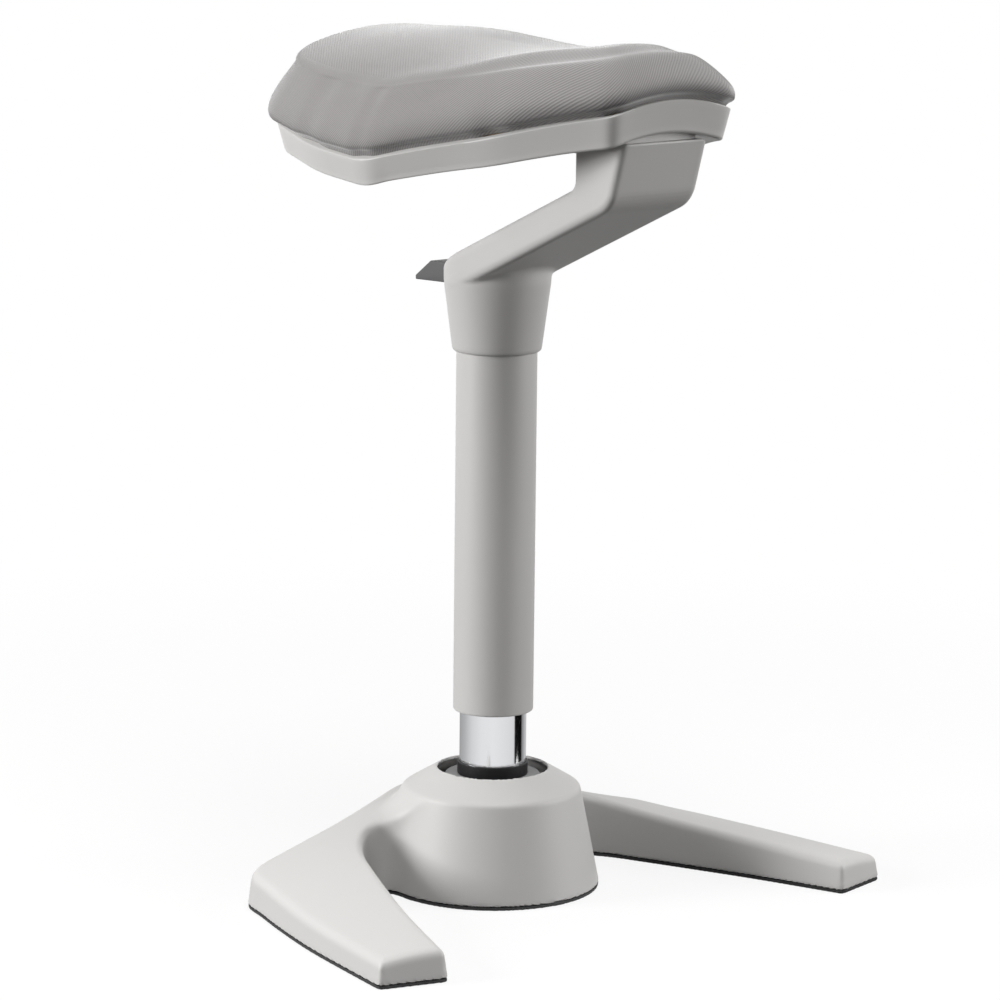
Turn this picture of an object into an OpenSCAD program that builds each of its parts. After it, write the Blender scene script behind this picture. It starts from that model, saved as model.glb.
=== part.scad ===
// Sit-stand perching stool: a saddle seat on a cranked arm, a gas column with
// a cover tube, and a two-legged base whose dome holds a tilting bearing.
// The origin is on the floor, on the column's axis. The seat's nose and the
// open side of the base face -Y, and +Z is up.

/* [Seat] */
// Height of the seat pan's rim on the middle line
seat_rim_z = 607.2; // [560:1:660]
// Reach of the seat's nose in front of the column's axis
seat_nose = 191; // [170:1:220]
// Reach of the seat behind the column's axis
seat_rear = 149; // [130:1:175]
// Half the width of the seat at its wings
seat_half_w = 132; // [120:1:170]
// Half the width of the nose between its sharp corners
nose_half_w = 56; // [48:1:70]
// Drop of the rim from the middle line to the wings
rim_drop = 53.5; // [20:0.5:62]
// Depth of the pan from its rim to its underside
pan_depth = 24.5; // [20:0.5:34]
// Wall of the pan
pan_wall = 3.5; // [2.5:0.1:6]
// Inward draft of the pan's sides over its depth
pan_draft = 6; // [3:0.5:12]
// Thickness of the board under the foam
board_t = 9; // [6:0.5:14]

/* [Cushion] */
// Height of the cushion's middle over the pan's rim
cushion_h = 36.3; // [28:0.1:60]
// Drop of the cushion's top from the middle line to the wings
top_drop = 50; // [18:1:62]
// Depth of the dish in front of the middle
dish_depth = 10.5; // [0:0.5:16]
// How far the top edge lies inside the rim
bevel_w = 22; // [14:1:30]
// How far the side bulges past the rim
bulge = 3.5; // [1:0.5:8]
// How much further it bulges behind
rear_bulge = 6; // [0:0.5:10]
// How far the sides draw in at the middle of each straight side
draw_in = 1.5; // [0:0.5:5]

/* [Arm] */
// Width of the arm
arm_w = 80; // [64:1:96]
// How far the seat's nose stands in front of the arm's head
nose_over = 8; // [4:1:20]
// Depth of the arm's upright part, front to back
arm_upright_d = 51.5; // [40:0.5:64]
// Height of the sloping top over the floor at the column's axis
arm_top_z = 483; // [470:1:500]
// Height of the arm's sloping part, measured upright
arm_t = 29; // [22:1:40]
// Slope of the arm, in degrees
arm_slope = 24; // [16:0.5:30]
// Height of the hub's lower lip over the floor
hub_z = 406; // [390:1:415]
// Radius of the hub at its shoulder
hub_r = 40.4; // [36:0.1:46]
// Radius of the hub at its lower lip
hub_lip_r = 33.2; // [32:0.1:36]

/* [Column] */
// Outer radius of the cover tube
cover_r = 30; // [28:0.5:34]
// Wall of the cover tube
cover_wall = 2.5; // [1.5:0.1:2.8]
// Height of the cover tube's foot over the floor
cover_foot_z = 134.6; // [120:1:150]
// Outer radius of the chromed stand tube
stand_r = 25; // [23:0.5:26]
// Wall of the stand tube
stand_wall = 1.5; // [1:0.1:2]
// Top of the stand tube over the floor
stand_top_z = 380; // [360:1:390]
// Stroke of the gas spring
stroke = 200; // [120:5:200]
// Outer radius of the gas cylinder
cylinder_r = 14; // [13:0.5:16]
// Radius of the piston rod
rod_r = 5; // [4:0.5:6]

/* [Lever] */
// Reach of the lever's tip behind the column's axis
lever_reach = 85; // [76:1:110]
// Width of the lever
lever_w = 20; // [14:1:26]
// Height of the lever
lever_h = 16; // [12:0.5:18]
// Distance of the lever's pivot behind the column's axis
pivot_y = 22; // [18:0.5:26]
// Radius of the lever's pin
pivot_r = 2.5; // [2:0.5:3]

/* [Base] */
// Height of the dome's rim over the floor
dome_h = 91; // [84:1:100]
// Radius of the dome at the floor
dome_foot_r = 81; // [76:1:90]
// Radius of the dome at its edge
dome_edge_r = 66; // [60:1:72]
// Height of the dome's edge over the floor
dome_edge_z = 76.3; // [70:1:82]
// Radius of the hole in the dome
hole_r = 41.5; // [40:0.5:46]
// Wall of the dome
dome_wall = 5; // [3:0.5:7]
// Reach of a leg's inner tip corner in front of the column's axis
leg_reach = 186; // [160:1:230]
// Half the distance between the legs' outer tip corners
leg_span = 240; // [210:1:280]
// Width of a leg's tip
leg_tip_w = 53; // [40:1:66]
// Height of a leg's tip over the floor, at its inner edge
leg_tip_h = 24; // [18:1:34]
// Thickness of the rubber sole
sole_t = 3; // [2:0.5:5]

/* [Tilt bearing] */
// Height of the bearing's centre over the floor
bearing_z = 46; // [44:0.5:48]
// Radius of the ball on the column
ball_r = 34; // [33:0.5:36]
// Thickness of the rubber ring round the ball
rubber_t = 7.4; // [5:0.2:8]
// Wall of the race round the rubber at its waist
race_wall = 5; // [3.5:0.5:6]

/* [Hidden] */

grey = [0.76, 0.755, 0.74];
black = [0.06, 0.06, 0.065];
steel = [0.62, 0.63, 0.65];
fabric = [0.56, 0.54, 0.535];

// Facets: smooth bores, and fewer on small screws.
round_fn = 96;
small_fn = 32;
// Width of a screw's hexagon socket, as a share of its shank.
key_share = 0.7;
// One overrun serves every cut that leaves a face.
cut = 2;
// Clearances: a running fit, and the gap between curved faces of two bodies.
run_gap = 0.05;
free_gap = 0.3;

// Shapes shared by several pieces

function unit(v) = v / norm(v);

// Points on the arc that rounds corner b between its neighbours a and c.
function corner_arc(a, b, c, r, n) =
    let (d1 = unit(a - b), d2 = unit(c - b), half = acos(d1 * d2) / 2,
        mid = b + unit(d1 + d2) * r / sin(half),
        p1 = b + d1 * r / tan(half), p2 = b + d2 * r / tan(half),
        a1 = atan2(p1[1] - mid[1], p1[0] - mid[0]),
        a2 = atan2(p2[1] - mid[1], p2[0] - mid[0]),
        turn = (a2 - a1 + 540) % 360 - 180)
    [for (i = [0 : n]) mid + r * [cos(a1 + turn * i / n), sin(a1 + turn * i / n)]];

function rounded(points, radii, n) =
    let (m = len(points))
    [for (i = [0 : m - 1])
        each corner_arc(points[(i + m - 1) % m], points[i], points[(i + 1) % m], radii[i], n)];

// Closed skin over rings of equal count, with a point at the first and the
// last end. Rings run anticlockwise seen from above, from the first end up.
module skin(rings, first, last) {
    n = len(rings[0]);
    m = len(rings);
    points = [first, for (ring = rings) each ring, last];
    function at(i, j) = 1 + i * n + j % n;
    faces = [
        for (j = [0 : n - 1]) [0, at(0, j), at(0, j + 1)],
        for (i = [0 : m - 2], j = [0 : n - 1])
            each [[at(i, j), at(i + 1, j), at(i + 1, j + 1)],
                [at(i, j), at(i + 1, j + 1), at(i, j + 1)]],
        for (j = [0 : n - 1]) [m * n + 1, at(m - 1, j + 1), at(m - 1, j)]];
    polyhedron(points, faces, convexity = 6);
}

module ring_of(count, radius, turn = 0) {
    for (i = [0 : count - 1])
        rotate([0, 0, turn + 360 * i / count]) translate([radius, 0, 0]) children();
}

module bolt(shank_r, shank_len, head_r, head_h, key_r) {
    difference() {
        union() {
            translate([0, 0, -shank_len]) cylinder(r = shank_r, h = shank_len, $fn = small_fn);
            cylinder(r = head_r, h = head_h, $fn = small_fn);
        }
        translate([0, 0, head_h / 2]) cylinder(r = key_r, h = head_h, $fn = 6);
    }
}

// Seat: outline seen from above, rim arch, pan, board, cushion

// Where the outline's sharp corners lie, as shares of the seat's own sizes.
shoulder_w_share = 0.75;
shoulder_y_share = 0.567;
wing_w_share = 1.02;
wing_y_share = 0.0;
rear_w_share = 0.8;
nose_corner_r = 22;
shoulder_r = 200;
wing_r = 160;
rear_corner_r = 46;
arc_steps = 9;
seat_mid = [0, -seat_nose * 0.1];

seat_corners = [
    [seat_half_w * wing_w_share, -seat_nose * wing_y_share],
    [seat_half_w * rear_w_share, seat_rear],
    [-seat_half_w * rear_w_share, seat_rear],
    [-seat_half_w * wing_w_share, -seat_nose * wing_y_share],
    [-seat_half_w * shoulder_w_share, -seat_nose * shoulder_y_share],
    [-nose_half_w, -seat_nose],
    [nose_half_w, -seat_nose],
    [seat_half_w * shoulder_w_share, -seat_nose * shoulder_y_share]];
seat_corner_r = [wing_r, rear_corner_r, rear_corner_r, wing_r,
    shoulder_r, nose_corner_r, nose_corner_r, shoulder_r];
seat_outline = rounded(seat_corners, seat_corner_r, arc_steps);

// Height of the rim's arch over the floor, at a distance x from the middle.
function rim_z(x) = seat_rim_z - rim_drop * pow(x / seat_half_w, 2);

// Outline moved inwards along the line to the seat's middle.
function inset(p, d) = p - unit(p - seat_mid) * d;
function ring_inset(d, z) = [for (p = seat_outline)
    let (q = inset(p, d)) [q[0], q[1], rim_z(q[0]) + z]];
// Outline shrunk to a share of itself after an inset.
function ring_share(d, share, z) = [for (p = seat_outline)
    let (q = seat_mid + (inset(p, d) - seat_mid) * share) [q[0], q[1], rim_z(q[0]) + z]];
function mid_point(z) = [seat_mid[0], seat_mid[1], rim_z(0) + z];

floor_shares = [0.3, 0.6, 0.85];
pan_edge_r = 3;
wall_share = 0.8;
// Flat pad under the pan, where the arm's head is bolted on. It stands a gap
// below the pan's curved underside.
arm_reach = seat_nose - nose_over;
head_gap = 1.2;
pad_w = 70;
pad_d = 43;
pad_y = -(arm_reach - arm_upright_d / 2);
arm_head_z = rim_z(arm_w / 2) - pan_depth - head_gap;
arm_screw_dx = 22;
arm_screw_dy = 11;
arm_screw_r = 4;
arm_screw_len = 22;
arm_screw_head_r = 6.5;
arm_screw_head_h = 5;
board_screw_x = 58;
board_screw_y = [-52, 62];
board_screw_r = 3;
board_screw_len = 16;
board_screw_head_r = 5.5;
board_screw_head_h = 3;
tee_r = 4.5;
spacer_r = 7.5;

module at_arm_screws() {
    for (sx = [-1, 1], sy = [-1, 1])
        translate([sx * arm_screw_dx, pad_y + sy * arm_screw_dy, 0]) children();
}

module at_board_screws() {
    for (sx = [-1, 1], y = board_screw_y)
        translate([sx * board_screw_x, y, 0]) children();
}

pan_floor_z = pan_depth - pan_wall;
// Bosses in the pan carry the spacers, and their screws sit in them from below.
boss_low_z = rim_z(board_screw_x) - pan_depth;
boss_top_z = boss_low_z + pan_wall * 2;
head_deep = pan_wall * 0.7;
module pan_shell() {
    skin([
        for (s = floor_shares) ring_share(pan_draft + pan_edge_r, s, -pan_depth),
        ring_inset(pan_draft + pan_edge_r, -pan_depth),
        ring_inset(pan_draft + pan_edge_r * 0.3, -pan_depth + pan_edge_r * 0.3),
        ring_inset(pan_draft * wall_share, -pan_depth + pan_edge_r),
        ring_inset(0, 0),
        ring_inset(pan_wall, 0),
        ring_inset(pan_draft * wall_share + pan_wall, -pan_floor_z),
        for (i = [len(floor_shares) - 1 : -1 : 0])
            ring_share(pan_draft * wall_share + pan_wall, floor_shares[i], -pan_floor_z)
    ], mid_point(-pan_depth), mid_point(-pan_floor_z));
}

module seat_pan() {
    color(grey) difference() {
        union() {
            pan_shell();
            translate([-pad_w / 2, pad_y - pad_d / 2, arm_head_z])
                cube([pad_w, pad_d, rim_z(0) - pan_floor_z - arm_head_z]);
            at_board_screws() translate([0, 0, boss_low_z])
                cylinder(r = spacer_r + pan_wall / 2, h = boss_top_z - boss_low_z, $fn = small_fn);
        }
        at_arm_screws() translate([0, 0, arm_head_z - cut])
            cylinder(r = arm_screw_r + free_gap, h = pan_depth, $fn = small_fn);
        at_board_screws() {
            translate([0, 0, boss_low_z - pan_depth])
                cylinder(r = board_screw_head_r + free_gap, h = pan_depth + head_deep, $fn = small_fn);
            translate([0, 0, boss_low_z - cut])
                cylinder(r = board_screw_r + free_gap, h = pan_depth, $fn = small_fn);
        }
    }
}

// The arm's screws have their heads on the pan's floor, under the board.
arm_screw_seat_z = rim_z(0) - pan_floor_z;
module arm_screws() {
    color(steel) at_arm_screws() translate([0, 0, arm_screw_seat_z])
        bolt(arm_screw_r, arm_screw_len, arm_screw_head_r, arm_screw_head_h, arm_screw_r * key_share);
}

// Pockets in the board clear the heads of the arm's screws.
board_gap = 1.5;
board_inset = pan_wall + board_gap;
board_top = -3 * free_gap;
module seat_board() {
    color([0.78, 0.64, 0.45]) difference() {
        skin([
            for (s = floor_shares) ring_share(board_inset + pan_draft * 0.4, s, board_top - board_t),
            ring_inset(board_inset + pan_draft * 0.4, board_top - board_t),
            ring_inset(board_inset, board_top),
            for (i = [len(floor_shares) - 1 : -1 : 0])
                ring_share(board_inset, floor_shares[i], board_top)
        ], mid_point(board_top - board_t), mid_point(board_top));
        at_board_screws() {
            translate([0, 0, boss_low_z])
                cylinder(r = tee_r + run_gap, h = pan_depth + cut, $fn = small_fn);
            translate([0, 0, boss_low_z])
                cylinder(r = spacer_r + free_gap, h = spacer_top_z - boss_low_z, $fn = small_fn);
        }
    }
}

// Four spacer nuts stand on the pan's bosses and carry the board.
spacer_top_z = rim_z(board_screw_x) + board_top - board_t + spacer_r / 2;
module tee_nuts() {
    color(steel) at_board_screws() difference() {
        union() {
            translate([0, 0, boss_top_z])
                cylinder(r = tee_r, h = spacer_top_z - boss_top_z + board_t * 0.3, $fn = small_fn);
            translate([0, 0, boss_top_z])
                cylinder(r = spacer_r, h = spacer_top_z - boss_top_z, $fn = small_fn);
        }
        translate([0, 0, boss_top_z - cut])
            cylinder(r = board_screw_r, h = pan_depth, $fn = small_fn);
    }
}

module board_screws() {
    color(steel) at_board_screws() translate([0, 0, boss_low_z + head_deep]) mirror([0, 0, 1])
        bolt(board_screw_r, board_screw_len, board_screw_head_r, board_screw_head_h,
            board_screw_r * key_share);
}

// Height of the cushion's top at a point of the plan. The dish lies a little
// in front of the middle and fades out towards the edge, where share is 1.
dish_y_share = 0.43;
dish_len_share = 0.42;
function dish(y, share) =
    let (t = (y + seat_nose * dish_y_share) / (seat_nose * dish_len_share))
    dish_depth * exp(-t * t) * (1 - share * share);
function top_z(q, share) = seat_rim_z + cushion_h - top_drop * pow(q[0] / seat_half_w, 2)
    - dish(q[1], share);
function ring_top(d, share, low) = [for (p = seat_outline)
    let (q = seat_mid + (inset(p, d) - seat_mid) * share)
    [q[0], q[1], top_z(q, share) - low]];

// The straight sides draw in between the corners: a wave along the outline.
function side_wave(i) = draw_in * pow(sin(180 * i / (arc_steps + 1)), 2);
// A ring at a share of the height from the rim to the cushion's top edge.
// Its far share is how much of the rear bulge it takes.
function ring_side(share, out, far = 0) = [for (i = [0 : len(seat_outline) - 1])
    let (p = seat_outline[i], behind = pow(max(p[1] / seat_rear, 0), 2) * rear_bulge * far,
        q = inset(p, -out - behind + side_wave(i)), e = inset(p, bevel_w),
        low = rim_z(q[0]) + free_gap, high = top_z(e, 1))
    [q[0], q[1], low + (high - low) * share]];

crown_shares = [0.2, 0.42, 0.64, 0.84];
edge_r = 9;
module cushion() {
    color(fabric) skin([
        for (s = floor_shares) ring_share(0, s, free_gap),
        ring_side(0, -bulge * 0.5),
        ring_side(0.1, bulge * 0.7, 0.7),
        ring_side(0.24, bulge, 1),
        ring_side(0.42, bulge * 0.3, 0.8),
        ring_side(0.68, -bevel_w * 0.38, 0.4),
        ring_side(0.88, -bevel_w * 0.76),
        ring_top(bevel_w, 1, edge_r * 0.08),
        ring_top(bevel_w + edge_r, 1, -edge_r * 0.06),
        for (i = [len(crown_shares) - 1 : -1 : 0])
            ring_top(bevel_w + edge_r, crown_shares[i], -edge_r * 0.06)
    ], mid_point(free_gap), [seat_mid[0], seat_mid[1], top_z(seat_mid, 0) + edge_r * 0.06]);
}

// Arm with its hub

slope = tan(arm_slope);
head_back = arm_reach - arm_upright_d;
function arm_top(u) = arm_top_z + slope * u;
function arm_under(u) = arm_top_z - arm_t + slope * u;
elbow_back = 14;
elbow_u = arm_reach - elbow_back;
sharp_r = 0.5;
elbow_r = 26;
crank_r = 9;

// Side view of the arm, as distance in front of the axis and height.
side_corners = [
    [0, arm_top(0)],
    [head_back, arm_top(head_back)],
    [head_back, arm_head_z],
    [arm_reach, arm_head_z],
    [elbow_u, arm_under(elbow_u)],
    [0, arm_under(0)]];
side_radii = [sharp_r, crank_r, sharp_r, sharp_r, elbow_r, sharp_r];

corner = 7;
module arm_plan() {
    translate([-arm_w / 2, -arm_reach + corner]) square([arm_w, arm_reach - corner]);
    translate([-arm_w / 2 + corner, -arm_reach]) square([arm_w - 2 * corner, corner]);
    for (sx = [-1, 1]) translate([sx * (arm_w / 2 - corner), -arm_reach + corner])
        circle(r = corner, $fn = small_fn);
}

module arm_bar() {
    intersection() {
        translate([arm_w, 0, 0]) rotate([90, 0, -90]) linear_extrude(height = arm_w * 2)
            polygon(rounded(side_corners, side_radii, 8));
        translate([0, 0, arm_under(0)]) linear_extrude(height = arm_head_z) arm_plan();
    }
}

lip_h = 2;
shoulder_drop = 14;
waist_drop = 11;
waist_in = 0.6;
shoulder_z = arm_top_z - shoulder_drop;
module hub() {
    intersection() {
        rotate_extrude($fn = round_fn) polygon([
            [0, hub_z], [hub_lip_r - lip_h * 0.6, hub_z], [hub_lip_r, hub_z + lip_h],
            [hub_r - waist_in, shoulder_z - waist_drop], [hub_r, shoulder_z], [hub_r, arm_top_z + hub_r],
            [0, arm_top_z + hub_r]]);
        translate([arm_w, 0, 0]) rotate([90, 0, -90]) linear_extrude(height = arm_w * 2)
            polygon([[-hub_r - cut, hub_z - cut], [-hub_r - cut, arm_top(-hub_r - cut)],
                [hub_r + cut, arm_top(hub_r + cut)], [hub_r + cut, hub_z - cut]]);
    }
}

socket_depth = 22;
web_t = 2;
taper_len = 22;
taper_z = hub_z + socket_depth + web_t;
cylinder_top_z = taper_z + taper_len;
taper_share = 0.94;
neck_gap = 1;
pin_out = 4.5;
pin_r = 3;
pin_top_z = cylinder_top_z + pin_out;
lever_z = pin_top_z + free_gap;
slot_gap = 1;
slot_w = lever_w + 2 * slot_gap;
slot_drop = 9;
slot_low = lever_z - slot_drop;
pivot_rise = 5;
pivot_z = lever_z + pivot_rise;
slot_back_share = 0.45;
cavity_front = 14;
swing_room = 6;
tap_spare = 1;

// Cover tube's socket, taper for the cylinder, and the room for the lever.
module arm() {
    color(grey) difference() {
        union() {
            hub();
            arm_bar();
        }
        translate([0, 0, hub_z - cut])
            cylinder(r = cover_r + run_gap, h = socket_depth + cut, $fn = round_fn);
        translate([0, 0, hub_z])
            cylinder(r = cylinder_r + neck_gap, h = socket_depth + web_t, $fn = round_fn);
        translate([0, 0, taper_z])
            cylinder(r1 = cylinder_r, r2 = cylinder_r * taper_share, h = taper_len, $fn = round_fn);
        translate([0, 0, cylinder_top_z - run_gap])
            cylinder(r = cavity_front, h = lever_h + swing_room - pin_out, $fn = round_fn);
        translate([-slot_w / 2, 0, slot_low])
            cube([slot_w, hub_r + cut * 4, lever_z + lever_h + swing_room - slot_low]);
        translate([-slot_w / 2, hub_r * slot_back_share, lever_z])
            cube([slot_w, hub_r, arm_top_z]);
        translate([-pin_half, pivot_y, pivot_z]) rotate([0, 90, 0])
            cylinder(r = pivot_r, h = hub_r * 2, $fn = small_fn);
        at_arm_screws() translate([0, 0, arm_screw_seat_z - arm_screw_len - tap_spare])
            cylinder(r = arm_screw_r, h = arm_screw_len + cut, $fn = small_fn);
    }
}

// The pin goes in from the left, into a bore that is closed on the right.
pin_len_share = 0.88;
pin_half = sqrt(hub_r * hub_r - pivot_y * pivot_y) * pin_len_share;
module lever_pin() {
    color(steel) translate([-pin_half, pivot_y, pivot_z]) rotate([0, 90, 0])
        cylinder(r = pivot_r, h = 2 * pin_half, $fn = small_fn);
}

// Side view of the lever, as distance behind the axis and height.
bite = 5;
tip_drop = 6.5;
tip_t = 3;
belly = 2;
tip_low = lever_z - tip_drop;
tip_top_share = 0.67;
module lever() {
    color([0.55, 0.55, 0.54]) difference() {
        translate([-lever_w / 2, 0, 0]) rotate([90, 0, 90]) linear_extrude(height = lever_w)
            polygon([[-bite, lever_z], [pin_r + bite * 0.2, lever_z],
                [pivot_y - bite * 0.8, lever_z - belly],
                [pivot_y + bite * 2, tip_low + belly], [lever_reach, tip_low],
                [lever_reach - tip_t, tip_low + tip_t],
                [lever_reach * tip_top_share, tip_low + lever_h],
                [pivot_y + bite * 1.6, tip_low + lever_h + belly],
                [pivot_y, lever_z + lever_h - belly * 2], [-bite, lever_z + bite]]);
        translate([-lever_w, pivot_y, pivot_z]) rotate([0, 90, 0])
            cylinder(r = pivot_r + run_gap, h = lever_w * 2, $fn = small_fn);
    }
}

// Column: cover tube and its bush

module tube(r, wall, low, high) {
    translate([0, 0, low]) difference() {
        cylinder(r = r, h = high - low, $fn = round_fn);
        translate([0, 0, -cut]) cylinder(r = r - wall, h = high - low + 2 * cut, $fn = round_fn);
    }
}

cover_top_z = hub_z + socket_depth;
foot_round = 3;
module cover_tube() {
    color(grey) rotate_extrude($fn = round_fn) polygon([
        [cover_r - cover_wall, cover_foot_z + foot_round * 0.3],
        [cover_r - cover_wall * 0.7, cover_foot_z],
        [cover_r - foot_round * 0.5, cover_foot_z],
        [cover_r - foot_round * 0.15, cover_foot_z + foot_round * 0.4],
        [cover_r, cover_foot_z + foot_round],
        [cover_r, cover_top_z],
        [cover_r - cover_wall, cover_top_z]]);
}

bush_len = 40;
module slide_bush() {
    low = cover_foot_z + foot_round;
    color(black) tube(cover_r - cover_wall, cover_r - cover_wall - stand_r - run_gap,
        low, low + bush_len);
}

// Stand tube, closed by a floor that carries the rod

column_dip = 18;
stand_low_z = bearing_z - column_dip;
stand_floor_t = 6;
rod_step = 1;
rod_foot_r = rod_r - rod_step;
module stand_tube() {
    color([0.82, 0.83, 0.85]) difference() {
        translate([0, 0, stand_low_z])
            cylinder(r = stand_r, h = stand_top_z - stand_low_z, $fn = round_fn);
        translate([0, 0, stand_low_z + stand_floor_t])
            cylinder(r = stand_r - stand_wall, h = stand_top_z, $fn = round_fn);
        translate([0, 0, stand_low_z - cut])
            cylinder(r = rod_foot_r + run_gap, h = stand_floor_t + 2 * cut, $fn = round_fn);
    }
}

guide_len = 90;
module guide_bush() {
    color(black) tube(stand_r - stand_wall, stand_r - stand_wall - cylinder_r - run_gap,
        stand_top_z - guide_len, stand_top_z);
}

// Thrust bearing on the stand tube's floor: washer, balls in a cage, washer

thrust_z = stand_low_z + stand_floor_t;
washer_t = 2;
washer_r = 12;
ball_d = 4;
ball_ring_r = 8.5;
ball_count = 10;
cage_in = 0.5;
module washer(low, r) {
    color(steel) tube(r, r - rod_foot_r - run_gap, low, low + washer_t);
}

module lower_washer() {
    washer(thrust_z, washer_r);
}

module upper_washer() {
    washer(thrust_z + washer_t + ball_d, washer_r);
}

module thrust_balls() {
    color(steel) ring_of(ball_count, ball_ring_r)
        translate([0, 0, thrust_z + washer_t + ball_d / 2]) sphere(d = ball_d, $fn = small_fn);
}

module ball_cage() {
    cage_t = ball_d * 0.5;
    low = thrust_z + washer_t + ball_d / 2 - cage_t / 2;
    color([0.85, 0.82, 0.7]) difference() {
        tube(washer_r - cage_in, washer_r - cage_in - rod_foot_r - 4 * run_gap, low, low + cage_t);
        ring_of(ball_count, ball_ring_r) translate([0, 0, low - cut])
            cylinder(r = ball_d / 2 + run_gap, h = cage_t + 2 * cut, $fn = small_fn);
    }
}

// Piston rod with its shoulder, buffer, clip and piston

shoulder_low_z = thrust_z + 2 * washer_t + ball_d;
clip_t = 2.5;
clip_below = 2;
groove_d = 0.8;
buffer_t = 9;
buffer_r = 11;
piston_h = 14;
piston_below = 80;
piston_z = stand_top_z - piston_below;
cylinder_wall = 2.5;
bore_r = cylinder_r - cylinder_wall;
module piston_rod() {
    foot_low_z = stand_low_z - clip_t - clip_below;
    color(steel) difference() {
        union() {
            translate([0, 0, foot_low_z])
                cylinder(r = rod_foot_r, h = shoulder_low_z - foot_low_z, $fn = round_fn);
            translate([0, 0, shoulder_low_z])
                cylinder(r = rod_r, h = piston_z - shoulder_low_z, $fn = round_fn);
        }
        translate([0, 0, stand_low_z - clip_t - run_gap])
            tube(rod_foot_r + cut, cut + groove_d, 0, clip_t);
    }
}

module rod_clip() {
    color(steel) translate([0, 0, stand_low_z - clip_t - run_gap]) difference() {
        cylinder(r = rod_foot_r * 2.2, h = clip_t - run_gap, $fn = round_fn);
        translate([0, 0, -cut])
            cylinder(r = rod_foot_r - groove_d + run_gap, h = clip_t + 2 * cut, $fn = round_fn);
    }
}

module buffer() {
    color(black) tube(buffer_r, buffer_r - rod_r, shoulder_low_z, shoulder_low_z + buffer_t);
}

module piston() {
    color(steel) translate([0, 0, piston_z])
        cylinder(r = bore_r - run_gap, h = piston_h, $fn = round_fn);
}

// Gas cylinder: chamber, taper, valve pin and the guide at its foot

foot_gap = 14;
end_gap = 1;
pin_seal = 4;
pin_spare = 10;
cylinder_low_z = shoulder_low_z + buffer_t + foot_gap;
chamber_low_z = piston_z - stroke - end_gap;
chamber_top_z = piston_z + piston_h + 2 * end_gap;
pin_low_z = chamber_top_z + pin_spare;
module gas_cylinder() {
    color([0.12, 0.12, 0.125]) difference() {
        union() {
            translate([0, 0, cylinder_low_z])
                cylinder(r = cylinder_r, h = taper_z - cylinder_low_z, $fn = round_fn);
            translate([0, 0, taper_z])
                cylinder(r1 = cylinder_r, r2 = cylinder_r * taper_share,
                    h = cylinder_top_z - taper_z, $fn = round_fn);
        }
        translate([0, 0, cylinder_low_z - cut])
            cylinder(r = bore_r, h = chamber_top_z - cylinder_low_z + cut, $fn = round_fn);
        translate([0, 0, chamber_top_z + pin_seal])
            cylinder(r = pin_r + run_gap, h = cylinder_top_z, $fn = round_fn);
    }
}

module rod_guide() {
    color(black) tube(bore_r, bore_r - rod_r - run_gap, cylinder_low_z, chamber_low_z);
}

module release_pin() {
    color(steel) translate([0, 0, pin_low_z])
        cylinder(r = pin_r, h = pin_top_z - pin_low_z, $fn = round_fn);
}

// Tilt bearing: ball on the column, rubber ring and race

zone = 18;
zone_step = 1;
rubber_r = ball_r + free_gap + rubber_t;
race_bore_r = rubber_r + free_gap;
race_r = race_bore_r + race_wall;
plate_t = 6;
plate_top_z = sole_t + plate_t;
flange_t = 5;
flange_w = 12.5;
flange_r = race_r + flange_w;
race_bolt_r = 3;
race_bolt_ring_r = race_r + flange_w * 0.52;
disc_r = 35.5;
disc_t = 3.5;
disc_below = 9;
disc_z = dome_h - disc_below;
collar_t = 1.4;
collar_h = 9.5;

// Slice of a sphere round the bearing's centre.
module ball_slice(r, half) {
    translate([0, 0, bearing_z]) intersection() {
        sphere(r = r, $fn = round_fn);
        translate([0, 0, -half]) cylinder(r = r + cut, h = 2 * half, $fn = round_fn);
    }
}

neck_wall = 2;
module column_ball() {
    neck_r = stand_r + neck_wall;
    color(steel) difference() {
        union() {
            ball_slice(ball_r, zone);
            translate([0, 0, bearing_z + zone])
                cylinder(r = neck_r, h = disc_z - bearing_z - zone, $fn = round_fn);
        }
        translate([0, 0, stand_low_z - cut])
            cylinder(r = stand_r, h = disc_z - stand_low_z + 2 * cut, $fn = round_fn);
    }
}

module rubber_ring() {
    color(black) difference() {
        ball_slice(rubber_r, zone - zone_step);
        translate([0, 0, bearing_z]) sphere(r = ball_r + free_gap, $fn = round_fn);
    }
}

module bearing_race() {
    race_top_z = bearing_z + zone + 2 * zone_step;
    mouth_r = sqrt(race_bore_r * race_bore_r - zone * zone);
    color(steel) difference() {
        union() {
            translate([0, 0, plate_top_z])
                cylinder(r = race_r, h = race_top_z - plate_top_z, $fn = round_fn);
            translate([0, 0, plate_top_z]) cylinder(r = flange_r, h = flange_t, $fn = round_fn);
        }
        translate([0, 0, bearing_z]) sphere(r = race_bore_r, $fn = round_fn);
        translate([0, 0, plate_top_z - cut])
            cylinder(r = mouth_r, h = race_top_z, $fn = round_fn);
        ring_of(4, race_bolt_ring_r, 45) translate([0, 0, plate_top_z - cut])
            cylinder(r = race_bolt_r + run_gap, h = flange_t + 2 * cut, $fn = small_fn);
    }
}

module race_bolts() {
    color(steel) ring_of(4, race_bolt_ring_r, 45) translate([0, 0, plate_top_z + flange_t])
        bolt(race_bolt_r, flange_t + plate_t * 0.8, race_bolt_r * 1.7, race_bolt_r,
            race_bolt_r * key_share);
}

module top_disc() {
    color([0.5, 0.5, 0.5]) tube(disc_r, disc_r - stand_r - run_gap, disc_z, disc_z + disc_t);
}

module foot_collar() {
    color(black) tube(stand_r + run_gap + collar_t, collar_t, disc_z + disc_t,
        disc_z + disc_t + collar_h);
}

// Base: plate, sole, screws, and the cover with its dome and legs

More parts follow.
